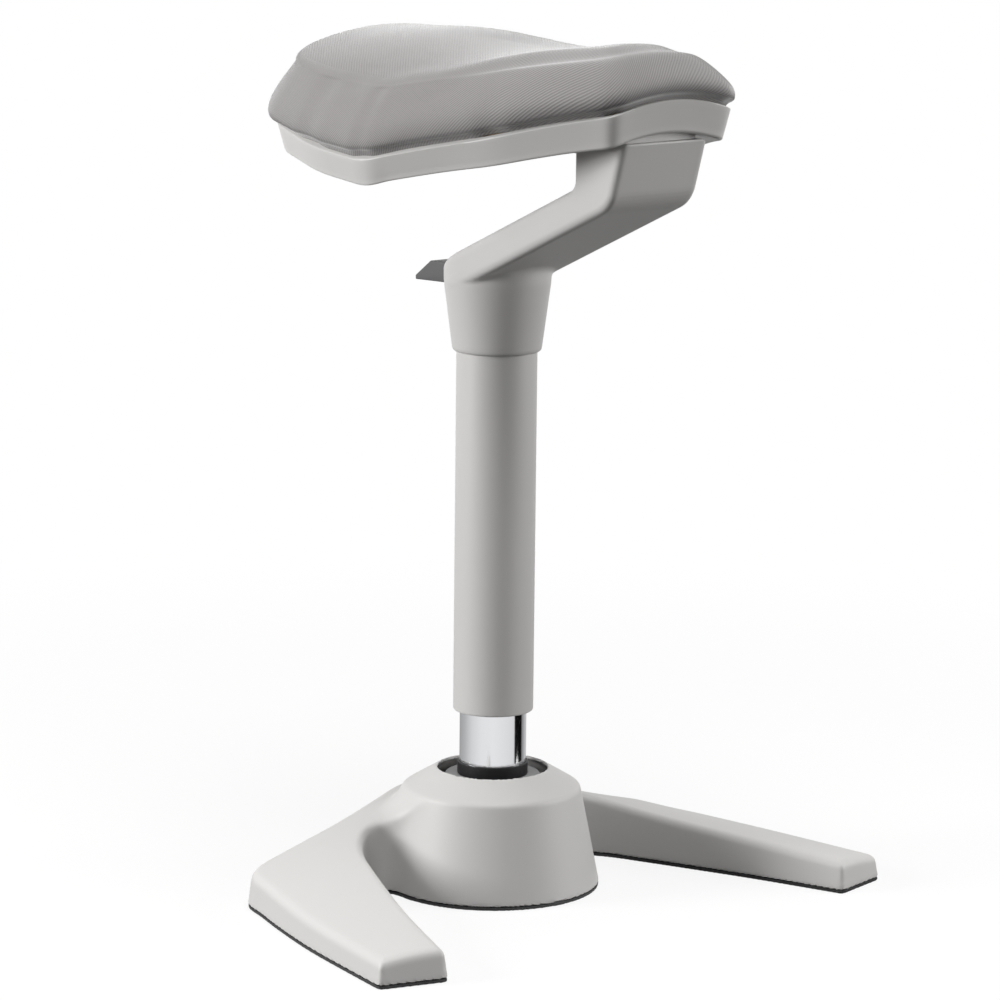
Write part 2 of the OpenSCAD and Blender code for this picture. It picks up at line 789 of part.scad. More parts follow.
plate_gap = 2;
plate_r = dome_foot_r - dome_wall - plate_gap;
boss_off = 7.5;
boss_ring_r = flange_r + boss_off;
boss_r = 5.5;
plate_screw_r = 2.5;
plate_screw_len = 16;
module base_plate() {
    color(steel) difference() {
        translate([0, 0, sole_t]) cylinder(r = plate_r, h = plate_t, $fn = round_fn);
        ring_of(4, race_bolt_ring_r, 45) translate([0, 0, sole_t - cut])
            cylinder(r = race_bolt_r, h = plate_t + 2 * cut, $fn = small_fn);
        ring_of(4, boss_ring_r) translate([0, 0, sole_t - cut])
            cylinder(r = plate_screw_r + run_gap, h = plate_t + 2 * cut, $fn = small_fn);
        ring_of(4, boss_ring_r) translate([0, 0, sole_t - cut])
            cylinder(r = plate_screw_r * 1.9, h = cut + plate_t / 2, $fn = small_fn);
    }
}

module plate_screws() {
    color(steel) ring_of(4, boss_ring_r) translate([0, 0, sole_t + plate_t / 2]) mirror([0, 0, 1])
        bolt(plate_screw_r, plate_screw_len, plate_screw_r * 1.8, plate_t * 0.46,
            plate_screw_r * key_share);
}

// Stations along the right-hand leg, from behind the dome to the tip. Each has
// its outer foot, its inner foot, and the heights of its two top edges. The
// places are shares of the leg's span, its reach and the dome's size.
tip_outer = [leg_span, -leg_reach + leg_tip_w * 0.26];
tip_inner = [leg_span - leg_tip_w * 0.97, -leg_reach];
rear_y = dome_foot_r * 0.87;
root_h = dome_edge_z * 0.84;
corner_h = leg_tip_h;
stations = [
    [[0, dome_foot_r * 1.03], [0, 0], root_h * 1.04, root_h * 1.02],
    [[leg_span * 0.13, dome_foot_r], [leg_span * 0.1, 0], root_h * 1.02, root_h],
    [[leg_span * 0.26, rear_y * 1.03], [leg_span * 0.2, 0], root_h * 0.92, root_h],
    [[leg_span * 0.42, rear_y], [leg_span * 0.3, dome_foot_r * 0.2], root_h * 0.72, root_h * 0.92],
    [[leg_span * 0.59, rear_y * 0.99], [leg_span * 0.375, dome_foot_r * 0.31],
        root_h * 0.54, root_h * 0.83],
    [[leg_span * 0.715, rear_y * 0.95], [leg_span * 0.44, dome_foot_r * 0.2],
        root_h * 0.42, root_h * 0.76],
    [[leg_span * 0.775, rear_y * 0.74], [leg_span * 0.49, 0], corner_h * 1.05, root_h * 0.69],
    [[leg_span * 0.8, rear_y * 0.34], [leg_span * 0.54, -leg_reach * 0.15],
        corner_h, root_h * 0.62],
    [[leg_span * 0.845, -leg_reach * 0.08], [leg_span * 0.6, -leg_reach * 0.34],
        corner_h * 0.95, root_h * 0.55],
    [[leg_span * 0.905, -leg_reach * 0.4], [leg_span * 0.685, -leg_reach * 0.62],
        corner_h * 0.87, root_h * 0.47],
    [tip_outer, tip_inner, leg_tip_h * 0.8, leg_tip_h]];

// A point between stations i and i + 1, on a smooth curve through them all.
function blend_at(k, i, t) =
    let (n = len(stations), a = stations[max(i - 1, 0)][k], b = stations[i][k],
        c = stations[min(i + 1, n - 1)][k], d = stations[min(i + 2, n - 1)][k])
    0.5 * (2 * b + (c - a) * t + (2 * a - 5 * b + 4 * c - d) * t * t
        + (3 * b - a - 3 * c + d) * t * t * t);

leg_steps = 3;
leg_params = concat([for (i = [0 : len(stations) - 2], s = [0 : leg_steps - 1]) [i, s / leg_steps]],
    [[len(stations) - 2, 1]]);
draft = 3;
top_round = 5;
crown = 1.5;
sole_inset = 1.2;

// Section of the leg across its two feet, from the outer foot over the top.
function leg_section(i, t) =
    let (o = blend_at(0, i, t), n = blend_at(1, i, t),
        ho = blend_at(2, i, t), hn = blend_at(3, i, t), across = unit(n - o),
        width = norm(n - o),
        profile = [[0, sole_t], [draft * 0.8, ho - top_round], [draft + top_round * 0.35, ho - top_round * 0.3],
            [draft + top_round * 1.3, ho + top_round * 0.1],
            [width * 0.35, ho + (hn - ho) * 0.33 + crown],
            [width * 0.65, ho + (hn - ho) * 0.66 + crown],
            [width - draft - top_round * 1.3, hn + top_round * 0.1],
            [width - draft - top_round * 0.35, hn - top_round * 0.3],
            [width - draft * 0.8, hn - top_round], [width, sole_t]])
    [for (p = profile) let (q = o + across * p[0]) [q[0], q[1], p[1]]];

// Skin over the open row of sections, closed along the floor and at both ends.
module leg() {
    rows = [for (p = leg_params) leg_section(p[0], p[1])];
    n = len(rows[0]);
    m = len(rows);
    function at(i, j) = i * n + j % n;
    faces = [
        [for (j = [0 : n - 1]) at(0, j)],
        for (i = [0 : m - 2], j = [0 : n - 1])
            each [[at(i, j), at(i + 1, j), at(i + 1, j + 1)],
                [at(i, j), at(i + 1, j + 1), at(i, j + 1)]],
        [for (j = [n - 1 : -1 : 0]) at(m - 1, j)]];
    polyhedron([for (row = rows) each row], faces, convexity = 6);
}

module leg_foot(gap) {
    outer = [for (p = leg_params) let (o = blend_at(0, p[0], p[1]), n = blend_at(1, p[0], p[1]))
        o + unit(n - o) * gap];
    inner = [for (i = [len(leg_params) - 1 : -1 : 0])
        let (p = leg_params[i], o = blend_at(0, p[0], p[1]), n = blend_at(1, p[0], p[1]))
        n - unit(n - o) * gap];
    polygon(concat(outer, inner));
}

module sole() {
    color(black) linear_extrude(height = sole_t) union() {
        circle(r = dome_foot_r - sole_inset, $fn = round_fn);
        leg_foot(sole_inset);
        mirror([1, 0]) leg_foot(sole_inset);
    }
}

rim_round = 2;
module dome() {
    rotate_extrude($fn = round_fn) polygon([
        [0, sole_t], [dome_foot_r, sole_t],
        [dome_edge_r + rim_round * 0.6, dome_edge_z - rim_round * 2],
        [dome_edge_r - rim_round * 0.3, dome_edge_z + rim_round * 0.2],
        [hole_r + rim_round, dome_h - rim_round * 0.1], [hole_r, dome_h], [0, dome_h]]);
}

module base_cover() {
    color(grey) difference() {
        union() {
            dome();
            leg();
            mirror([1, 0, 0]) leg();
        }
        difference() {
            translate([0, 0, -cut]) dome_cavity();
            ring_of(4, boss_ring_r) translate([0, 0, plate_top_z + free_gap])
                cylinder(r = boss_r, h = dome_h, $fn = small_fn);
        }
        translate([0, 0, sole_t - cut]) cylinder(r = hole_r, h = dome_h, $fn = round_fn);
        ring_of(4, boss_ring_r) translate([0, 0, plate_top_z - cut])
            cylinder(r = plate_screw_r, h = plate_screw_len, $fn = small_fn);
    }
}

module dome_cavity() {
    rotate_extrude($fn = round_fn) polygon([
        [0, 0], [dome_foot_r - dome_wall, 0], [dome_foot_r - dome_wall, sole_t + cut],
        [dome_edge_r - dome_wall, dome_edge_z - dome_wall + cut],
        [hole_r, dome_h - dome_wall + cut], [0, dome_h - dome_wall + cut]]);
}

base_cover();
sole();
base_plate();
plate_screws();
bearing_race();
race_bolts();
rubber_ring();
column_ball();
stand_tube();
top_disc();
foot_collar();
guide_bush();
lower_washer();
ball_cage();
thrust_balls();
upper_washer();
buffer();
piston_rod();
piston();
rod_clip();
gas_cylinder();
rod_guide();
release_pin();
cover_tube();
slide_bush();
arm();
lever();
lever_pin();
seat_pan();
arm_screws();
seat_board();
tee_nuts();
board_screws();
cushion();
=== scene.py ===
"""Sit-stand perching stool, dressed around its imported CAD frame.

Lengths are metres in the row frame: the origin is on the floor on the column's axis, the seat's
nose points to -Y and +Z is up.
"""

import logging  # noqa: E402
import math  # noqa: E402
from dataclasses import dataclass, field  # noqa: E402
from enum import Enum  # noqa: E402
from typing import Callable  # noqa: E402

import bpy  # noqa: E402
import numpy as np  # noqa: E402
from mathutils import Matrix, Vector  # noqa: E402
from mathutils.kdtree import KDTree  # noqa: E402


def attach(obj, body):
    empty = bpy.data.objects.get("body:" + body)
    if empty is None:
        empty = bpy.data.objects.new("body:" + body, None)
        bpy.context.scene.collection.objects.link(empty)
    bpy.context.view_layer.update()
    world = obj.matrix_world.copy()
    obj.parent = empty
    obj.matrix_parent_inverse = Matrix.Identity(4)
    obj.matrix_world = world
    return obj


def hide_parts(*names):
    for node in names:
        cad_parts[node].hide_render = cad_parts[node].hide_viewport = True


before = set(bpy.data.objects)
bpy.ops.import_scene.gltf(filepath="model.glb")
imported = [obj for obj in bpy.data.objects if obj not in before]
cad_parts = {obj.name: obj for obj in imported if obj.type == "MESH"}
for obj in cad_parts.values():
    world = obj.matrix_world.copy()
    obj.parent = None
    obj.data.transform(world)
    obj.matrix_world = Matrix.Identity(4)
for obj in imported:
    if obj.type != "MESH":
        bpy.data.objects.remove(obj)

log = logging.getLogger("stool")
Array = np.ndarray
Field = Callable[[Array, Array, Array], Array]

TURN = 2 * math.pi
MM = 0.001


# Shader expressions


class Shade:
    """Wraps one socket of a material's tree, so that shader maths reads as an expression."""

    def __init__(self, tree: "Tree", socket: bpy.types.NodeSocket) -> None:
        """Keeps the tree and the socket.

        Args:
            tree: The tree that new nodes go into.
            socket: The output socket that this value stands for.
        """
        self.tree = tree
        self.socket = socket

    def other(self, name: str) -> "Shade":
        """Another output of the same node, by its name."""
        return Shade(self.tree, self.socket.node.outputs[name])

    def __add__(self, other: object) -> "Shade":
        """Sum."""
        return self.tree.maths("ADD", self, other)

    __radd__ = __add__

    def __mul__(self, other: object) -> "Shade":
        """Product."""
        return self.tree.maths("MULTIPLY", self, other)

    __rmul__ = __mul__

    def __sub__(self, other: object) -> "Shade":
        """Difference."""
        return self.tree.maths("SUBTRACT", self, other)

    def __rsub__(self, other: object) -> "Shade":
        """Difference from a plain number."""
        return self.tree.maths("SUBTRACT", other, self)


class Tree:
    """The node tree of one material or world."""

    def __init__(self, owner: object) -> None:
        """Empties the owner's tree.

        Args:
            owner: The material or world.
        """
        owner.use_nodes = True
        self.tree = owner.node_tree
        self.tree.nodes.clear()

    def node(self, kind: str, settings: dict, sockets: dict, out: object = 0) -> Shade:
        """Adds one node, sets it up, and feeds its sockets.

        Args:
            kind: The node's type.
            settings: Its settings; stops holds a colour ramp's stops.
            sockets: Values or links by the socket's name or number.
            out: The output socket that is wanted, by name or number.

        Returns:
            The output as a shader value.
        """
        made = self.tree.nodes.new(kind)
        for name, value in settings.items():
            if name == "stops":
                for index, (place, colour) in enumerate(value):
                    stops = made.color_ramp.elements
                    stop = stops[index] if index < 2 else stops.new(place)
                    stop.position = place
                    stop.color = (*colour, 1.0)
            else:
                setattr(made, name, value)
        for name, value in sockets.items():
            socket = made.inputs[name]
            if isinstance(value, Shade):
                self.tree.links.new(value.socket, socket)
            else:
                socket.default_value = value
        return Shade(self, made.outputs[out]) if len(made.outputs) else None

    def maths(self, operation: str, first: object, second: object = 0.0) -> Shade:
        """Adds one Math node.

        Args:
            operation: The node's operation.
            first: Its first value.
            second: Its second value.

        Returns:
            The node's result.
        """
        return self.node("ShaderNodeMath", {"operation": operation}, {0: first, 1: second})

    def place(self) -> Shade:
        """The point in the piece's own coordinates."""
        return self.node("ShaderNodeTexCoord", {}, {}, "Object")

    def noise(self, scale: float, detail: float = 2.0, stretch: tuple = (1.0, 1.0, 1.0)) -> Shade:
        """Noise from 0 to 1 over the piece's own coordinates.

        Args:
            scale: Features in a metre.
            detail: Octaves of finer noise.
            stretch: Scale of each axis before the noise.

        Returns:
            The noise's value.
        """
        point = self.node("ShaderNodeMapping", {}, {"Vector": self.place(), "Scale": stretch})
        return self.node(
            "ShaderNodeTexNoise", {}, {"Vector": point, "Scale": scale, "Detail": detail}
        )

    def tint(self, low: tuple, high: tuple, amount: Shade) -> Shade:
        """Blends two colours.

        Args:
            low: The colour at 0.
            high: The colour at 1.
            amount: The share of the second.

        Returns:
            The blended colour.
        """
        return self.node(
            "ShaderNodeMix",
            {"data_type": "RGBA"},
            {"Factor": amount, 6: (*low, 1.0), 7: (*high, 1.0)},
            2,
        )

    def bump(self, height: Shade, distance: float, strength: float = 1.0) -> Shade:
        """Normal from a height.

        Args:
            height: The height, from 0 to 1.
            distance: The height of 1, in metres.
            strength: How strongly it shows.

        Returns:
            The bent normal.
        """
        return self.node(
            "ShaderNodeBump", {}, {"Height": height, "Distance": distance, "Strength": strength}
        )

    def surface(self, sockets: dict) -> None:
        """Ends the tree in one Principled shader.

        Args:
            sockets: The shader's values and links.
        """
        shader = self.node("ShaderNodeBsdfPrincipled", {}, sockets)
        self.node("ShaderNodeOutputMaterial", {}, {"Surface": shader})


# Finishes


@dataclass(frozen=True)
class Finish:
    """A hard finish: its colour, how far that varies, its gloss and its fine grain."""

    name: str
    colour: tuple
    shade_share: float = 0.94
    roughness: float = 0.45
    roughness_spread: float = 0.08
    metallic: float = 0.0
    grain: float = 900.0
    grain_depth: float = 0.00002
    specular: float = 0.5
    clouds: float = 14.0

    def material(self) -> bpy.types.Material:
        """Makes the material, or finds it again.

        Returns:
            The material: slow noise shades the colour and the gloss, fast noise is the grain.
        """
        known = bpy.data.materials.get(self.name)
        if known:
            return known
        made = bpy.data.materials.new(self.name)
        tree = Tree(made)
        slow = tree.noise(self.clouds, 3.0)
        fine = tree.noise(self.grain)
        dark = tuple(part * self.shade_share for part in self.colour)
        rough = slow * self.roughness_spread + (self.roughness - self.roughness_spread / 2)
        tree.surface(
            {
                "Base Color": tree.tint(dark, self.colour, slow),
                "Roughness": rough,
                "Metallic": self.metallic,
                "Specular IOR Level": self.specular,
                "Normal": tree.bump(fine, self.grain_depth),
            }
        )
        return made


@dataclass(frozen=True)
class RibbedCloth:
    """Upholstery with fine diagonal ribs over a plain weave, on the piece's cloth map."""

    name: str = "ribbed_cloth"
    low: tuple = (0.150, 0.142, 0.140)
    high: tuple = (0.305, 0.293, 0.289)
    rib_pitch: float = 0.0019
    rib_depth: float = 0.00025
    thread_pitch: float = 0.0011
    wander: tuple = (0.0012, 0.0008)
    shares: tuple = (0.62, 0.22, 0.16)
    roughness: float = 0.95
    specular: float = 0.15
    sheen_roughness: float = 0.42

    def material(self) -> bpy.types.Material:
        """Makes the cloth.

        Returns:
            The material: ribs are a sine along (u - v) / root 2, threads a sine along (u + v) /
            root 2, both shifted by slow noise, and they shade the colour and lift the surface.
        """
        made = bpy.data.materials.new(self.name)
        tree = Tree(made)
        chart = tree.node("ShaderNodeUVMap", {"uv_map": "cloth"}, {})
        u = tree.node("ShaderNodeSeparateXYZ", {}, {"Vector": chart}, "X")
        v = u.other("Y")
        half = math.sqrt(0.5)
        wobble = tree.noise(60.0)
        slow = tree.noise(18.0)
        rib = self.wave(tree, (u - v) * half + wobble * self.wander[0], self.rib_pitch)
        thread = self.wave(tree, (u + v) * half + wobble * self.wander[1], self.thread_pitch)
        weave = rib * self.shares[0] + thread * self.shares[1] + slow * self.shares[2]
        tree.surface(
            {
                "Base Color": tree.tint(self.low, self.high, weave),
                "Roughness": self.roughness,
                "Specular IOR Level": self.specular,
                "Sheen Weight": 1.0,
                "Sheen Roughness": self.sheen_roughness,
                "Normal": tree.bump(weave, self.rib_depth, 0.8),
            }
        )
        return made

    @staticmethod
    def wave(tree: Tree, distance: Shade, pitch: float) -> Shade:
        """A sine from 0 to 1 that repeats at a pitch.

        Args:
            tree: The material's tree.
            distance: The distance along the wave.
            pitch: The wave's length in metres.

        Returns:
            Half of one plus the sine of the distance in turns.
        """
        return tree.maths("SINE", distance * (TURN / pitch)) * 0.5 + 0.5


@dataclass(frozen=True)
class Plywood:
    """Layered wood of the hidden board."""

    name: str = "plywood"
    low: tuple = (0.47, 0.31, 0.17)
    high: tuple = (0.66, 0.49, 0.31)

    def material(self) -> bpy.types.Material:
        """Makes the wood.

        Returns:
            The material: noise stretched along the grain shades the colour.
        """
        made = bpy.data.materials.new(self.name)
        tree = Tree(made)
        grain = tree.noise(90.0, 4.0, (1.0, 0.08, 3.0))
        tree.surface(
            {
                "Base Color": tree.tint(self.low, self.high, grain),
                "Roughness": 0.62,
                "Normal": tree.bump(grain, 0.0001),
            }
        )
        return made


PAINT = Finish("grey_paint", (0.615, 0.606, 0.594), 0.97, roughness=0.48, specular=0.35)
PAN_PLASTIC = Finish("grey_moulding", (0.61, 0.60, 0.587), 0.97, roughness=0.4, grain=1500.0)
LEVER_PAINT = Finish("lever_paint", (0.105, 0.105, 0.107), roughness=0.45, specular=0.3)
CHROME = Finish("chrome", (0.82, 0.823, 0.83), 0.98, 0.05, 0.02, 1.0, 2200.0, 0.000002)
STEEL = Finish("turned_steel", (0.50, 0.505, 0.515), 0.85, 0.32, 0.1, 1.0, 700.0, 0.00001)
BLACK_RUBBER = Finish("black_rubber", (0.018, 0.018, 0.019), 0.75, 0.72, 0.1, 0.0, 1200.0, 0.00004)
BLACK_PLASTIC = Finish("black_plastic", (0.012, 0.012, 0.013), 0.8, 0.5, 0.1, specular=0.2)
DISC_GREY = Finish("disc_grey", (0.10, 0.10, 0.102), 0.85, 0.45, 0.1, specular=0.3)
CAGE = Finish("cage_plastic", (0.55, 0.47, 0.30), 0.9, 0.4, 0.08)
CYLINDER = Finish("cylinder_black", (0.02, 0.02, 0.022), 0.85, 0.3, 0.08)


# Mesh helpers


def put_mesh(
    name: str, points: Array, faces: Array, smooth_angle: float = 35.0
) -> bpy.types.Object:
    """Makes an object from arrays, with its place in its mesh.

    Args:
        name: The piece's name.
        points: Vertices, n by 3.
        faces: Corner indices, m by 4 or m by 3.
        smooth_angle: Faces that meet at less than this many degrees shade as one.

    Returns:
        The new object at the origin.
    """
    mesh = bpy.data.meshes.new(name)
    corners = faces.shape[1]
    mesh.vertices.add(len(points))
    mesh.vertices.foreach_set("co", points.astype(np.float32).ravel())
    mesh.loops.add(faces.size)
    mesh.loops.foreach_set("vertex_index", faces.astype(np.int32).ravel())
    mesh.polygons.add(len(faces))
    mesh.polygons.foreach_set("loop_start", np.arange(0, faces.size, corners, dtype=np.int32))
    mesh.update(calc_edges=True)
    mesh.validate()
    mesh.polygons.foreach_set("use_smooth", np.ones(len(mesh.polygons), dtype=bool))
    mesh.set_sharp_from_angle(angle=math.radians(smooth_angle))
    piece = bpy.data.objects.new(name, mesh)
    bpy.context.scene.collection.objects.link(piece)
    return piece


def dress(piece: bpy.types.Object, finish: object) -> None:
    """Gives a piece one material.

    Args:
        piece: The object.
        finish: A finish with a material method.
    """
    piece.data.materials.clear()
    piece.data.materials.append(finish.material())


def enlist(
    piece: bpy.types.Object, finish: object, body: str, node: str
) -> bpy.types.Object:
    """Dresses a visible piece, hangs it on its body and hides the CAD node that it replaces.

    Args:
        piece: The object.
        finish: A finish with a material method.
        body: The body that it rides on.
        node: The CAD node that it replaces.

    Returns:
        The same piece.
    """
    dress(piece, finish)
    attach(piece, body)
    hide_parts(node)
    return piece


def ring_faces(rings: int, count: int) -> Array:
    """Quads between closed rings of equal count, which run anticlockwise seen from the last ring.

    Args:
        rings: The number of rings.
        count: Points in each ring.

    Returns:
        Corner indices, with ring i's point j at i times count plus j.
    """
    i, j = np.meshgrid(np.arange(rings - 1), np.arange(count), indexing="ij")
    low, high, after = i * count, (i + 1) * count, (j + 1) % count
    return np.stack([low + j, low + after, high + after, high + j], -1).reshape(-1, 4)


def lathe(name: str, profile: Array, segments: int) -> bpy.types.Object:
    """Turns a closed profile about the Z axis.

    Args:
        name: The piece's name.
        profile: Radius and height pairs, with the solid on the left hand of its direction.
        segments: Steps in the turn.

    Returns:
        The turned piece: x = r cos a, y = r sin a, z = h for each a in the turn.
    """
    rows = np.vstack([profile, profile[:1]])
    angle = np.arange(segments) * TURN / segments
    points = np.stack(
        [
            rows[:, :1] * np.cos(angle),
            rows[:, :1] * np.sin(angle),
            np.broadcast_to(rows[:, 1:], (len(rows), segments)),
        ],
        -1,
    )
    return put_mesh(name, points.reshape(-1, 3), ring_faces(len(rows), segments))


def rounded_path(corners: Array, radii: Array, steps: int) -> Array:
    """Closed path whose corners are arcs.

    Args:
        corners: Corner points, n by 2.
        radii: The radius at each corner.
        steps: Points on each arc.

    Returns:
        The path's points. Each arc touches both sides, at r / tan(half the corner's angle) from
        the corner, and turns about the point r / sin(half) along the bisector.
    """
    before, after = np.roll(corners, 1, 0) - corners, np.roll(corners, -1, 0) - corners
    before /= np.linalg.norm(before, axis=1, keepdims=True)
    after /= np.linalg.norm(after, axis=1, keepdims=True)
    half = np.arccos(np.clip((before * after).sum(1), -1, 1)) / 2
    bisector = before + after
    bisector /= np.linalg.norm(bisector, axis=1, keepdims=True)
    centre = corners + bisector * (radii / np.sin(half))[:, None]
    start = corners + before * (radii / np.tan(half))[:, None] - centre
    end = corners + after * (radii / np.tan(half))[:, None] - centre
    first = np.arctan2(start[:, 1], start[:, 0])
    turn = (np.arctan2(end[:, 1], end[:, 0]) - first + 3 * math.pi) % TURN - math.pi
    angle = first[:, None] + turn[:, None] * np.linspace(0, 1, steps)
    arcs = centre[:, None] + radii[:, None, None] * np.stack([np.cos(angle), np.sin(angle)], -1)
    return arcs.reshape(-1, 2)


def even_path(path: Array, count: int) -> Array:
    """Points at even steps along a closed path.

    Args:
        path: The path's points, whose first two columns are its place.
        count: How many points are wanted.

    Returns:
        The new points, each at its share of the path's length.
    """
    closed = np.vstack([path, path[:1]])
    step = np.linalg.norm(np.diff(closed[:, :2], axis=0), axis=1)
    run = np.concatenate([[0], np.cumsum(step)])
    at = np.arange(count) * run[-1] / count
    return np.stack([np.interp(at, run, closed[:, k]) for k in range(path.shape[1])], -1)


def soften(path: Array, width: float) -> Array:
    """Smooths a closed path of even steps.

    Args:
        path: The path's points.
        width: The Gaussian's width, in steps.

    Returns:
        The path, filtered through its Fourier series.
    """
    turns = np.fft.fftfreq(len(path))
    keep = np.exp(-2 * (math.pi * turns * width) ** 2)
    return np.real(np.fft.ifft(np.fft.fft(path, axis=0) * keep[:, None], axis=0))


# Implicit solids


def smooth_max(a: Array, b: Array, width: Array | float) -> Array:
    """Greater of two fields, rounded where they are close.

    Args:
        a: The first field.
        b: The second field.
        width: How close they are where the rounding starts.

    Returns:
        The greater one plus (width - |a - b|) squared / (4 width) where that is positive.
    """
    near = np.maximum(width - np.abs(a - b), 0.0)
    return np.maximum(a, b) + near * near / (4 * width)


def smooth_min(a: Array, b: Array, width: Array | float) -> Array:
    """Lesser of two fields, filled where they are close.

    Args:
        a: The first field.
        b: The second field.
        width: How close they are where the fill starts.

    Returns:
        Minus the smooth greater of the negated fields.
    """
    return -smooth_max(-a, -b, width)


def polygon_distance(px: Array, py: Array, corners: Array) -> Array:
    """Signed distance to a closed polygon, negative inside.

    Args:
        px: First coordinate of each point.
        py: Second coordinate of each point.
        corners: The polygon's corners, n by 2.

    Returns:
        The least distance to a side, with its sign from how often a ray crosses the sides.
    """
    best = np.full(np.broadcast(px, py).shape, np.inf)
    inside = np.zeros(best.shape, dtype=bool)
    for (ax, ay), (bx, by) in zip(corners, np.roll(corners, -1, 0)):
        ex, ey = bx - ax, by - ay
        share = np.clip(((px - ax) * ex + (py - ay) * ey) / (ex * ex + ey * ey), 0, 1)
        best = np.minimum(best, (px - ax - share * ex) ** 2 + (py - ay - share * ey) ** 2)
        crosses = (ay > py) != (by > py)
        if abs(ey) > 0:
            inside ^= crosses & (px < ax + (py - ay) * ex / ey)
    return np.where(inside, -1, 1) * np.sqrt(best)


def net_surface(solid: Field, low: Array, high: Array, step: float) -> tuple[Array, Array]:
    """Meshes the zero surface of a field as a net of quads.

    One vertex stands in each grid cell that the surface crosses, at the mean of the crossings on
    the cell's edges. Each grid edge that the surface crosses gives one quad of the four cells
    round it. The vertices then slide along the field's gradient onto the surface.

    Args:
        solid: The field, negative inside.
        low: The grid's lowest corner.
        high: The grid's highest corner.
        step: The grid's step.

    Returns:
        The vertices and the quads.
    """
    axes = [np.arange(low[k], high[k] + step, step) for k in range(3)]
    values = solid(axes[0][:, None, None], axes[1][None, :, None], axes[2][None, None, :])
    values = np.broadcast_to(values, [len(axis) for axis in axes])
    inside = values < 0
    shape = tuple(size - 1 for size in values.shape)
    total = np.zeros((*shape, 3))
    hits = np.zeros(shape)
    for k in range(3):
        others = [n for n in range(3) if n != k]
        a = np.take(values, range(values.shape[k] - 1), axis=k)
        b = np.take(values, range(1, values.shape[k]), axis=k)
        crossed = (a < 0) != (b < 0)
        share = np.where(crossed, a / np.where(crossed, a - b, 1.0), 0.0)
        for first in (0, 1):
            for second in (0, 1):
                window = [slice(None)] * 3
                window[others[0]] = slice(first, first + shape[others[0]])
                window[others[1]] = slice(second, second + shape[others[1]])
                met = crossed[tuple(window)]
                offset = np.zeros((*shape, 3))
                offset[..., others[0]] = first
                offset[..., others[1]] = second
                offset[..., k] = share[tuple(window)]
                total += offset * met[..., None]
                hits += met
    active = hits > 0
    number = np.full(shape, -1)
    number[active] = np.arange(int(active.sum()))
    cell = np.argwhere(active)
    points = np.array([axis[0] for axis in axes]) + step * (
        cell + total[active] / hits[active][:, None]
    )
    quads = []
    for k in range(3):
        u, v = (k + 1) % 3, (k + 2) % 3
        a = np.take(inside, range(values.shape[k] - 1), axis=k)
        b = np.take(inside, range(1, values.shape[k]), axis=k)
        edge = np.argwhere(a != b)
        room = (edge[:, u] > 0) & (edge[:, v] > 0)
        room &= (edge[:, u] < shape[u]) & (edge[:, v] < shape[v])
        edge = edge[room]
        corners = []
        for du, dv in ((1, 1), (0, 1), (0, 0), (1, 0)):
            at = edge.copy()
            at[:, u] -= du
            at[:, v] -= dv
            corners.append(number[at[:, 0], at[:, 1], at[:, 2]])
        quad = np.stack(corners, -1)
        flip = b[tuple(edge.T)]
        quad[flip] = quad[flip][:, ::-1]
        quads.append(quad)
    for _ in range(3):
        points = slide_to_surface(solid, points, step)
    return points, np.vstack(quads)


def slide_to_surface(solid: Field, points: Array, step: float) -> Array:
    """Moves points along the field's gradient towards its zero surface.

    Args:
        solid: The field.
        points: The points, n by 3.
        step: The farthest that a point may move.

    Returns:
        Each point minus its value times the gradient over the gradient's squared length.
    """
    reach = step * 0.1
    value = solid(*points.T)
    slopes = []
    for k in range(3):
        ahead = points.copy()
        ahead[:, k] += reach
        slopes.append((solid(*ahead.T) - value) / reach)
    slope = np.stack(slopes, -1)
    move = value[:, None] * slope / np.maximum((slope * slope).sum(1, keepdims=True), 0.25)
    length = np.linalg.norm(move, axis=1, keepdims=True)
    return points - move * np.minimum(1, step * 0.5 / np.maximum(length, 1e-12))


def catmull_rom(rows: Array, steps: int) -> Array:
    """Smooth rows between given ones.

    Args:
        rows: The given rows, in an array of any shape behind its first axis.
        steps: New rows for each gap.

    Returns:
        All rows. Between b and c, with a before and d after, a row at share t is half of
        2b + (c - a) t + (2a - 5b + 4c - d) t squared + (3b - a - 3c + d) t cubed.
    """
    last = len(rows) - 1
    index = np.repeat(np.arange(last), steps)
    t = np.tile(np.arange(steps) / steps, last).reshape(-1, *[1] * (rows.ndim - 1))
    a, b = rows[np.maximum(index - 1, 0)], rows[index]
    c, d = rows[index + 1], rows[np.minimum(index + 2, last)]
    inner = 0.5 * (
        2 * b + (c - a) * t + (2 * a - 5 * b + 4 * c - d) * t**2 + (3 * b - a - 3 * c + d) * t**3
    )
    return np.concatenate([inner, rows[-1:]])


def ramp(value: Array, low: float, high: float) -> Array:
    """Rises smoothly from 0 at low to 1 at high.

    Args:
        value: The values.
        low: Where the rise starts.
        high: Where it ends.

    Returns:
        3 t squared - 2 t cubed, with t the clipped share of the way.
    """
    t = np.clip((value - low) / (high - low), 0, 1)
    return t * t * (3 - 2 * t)


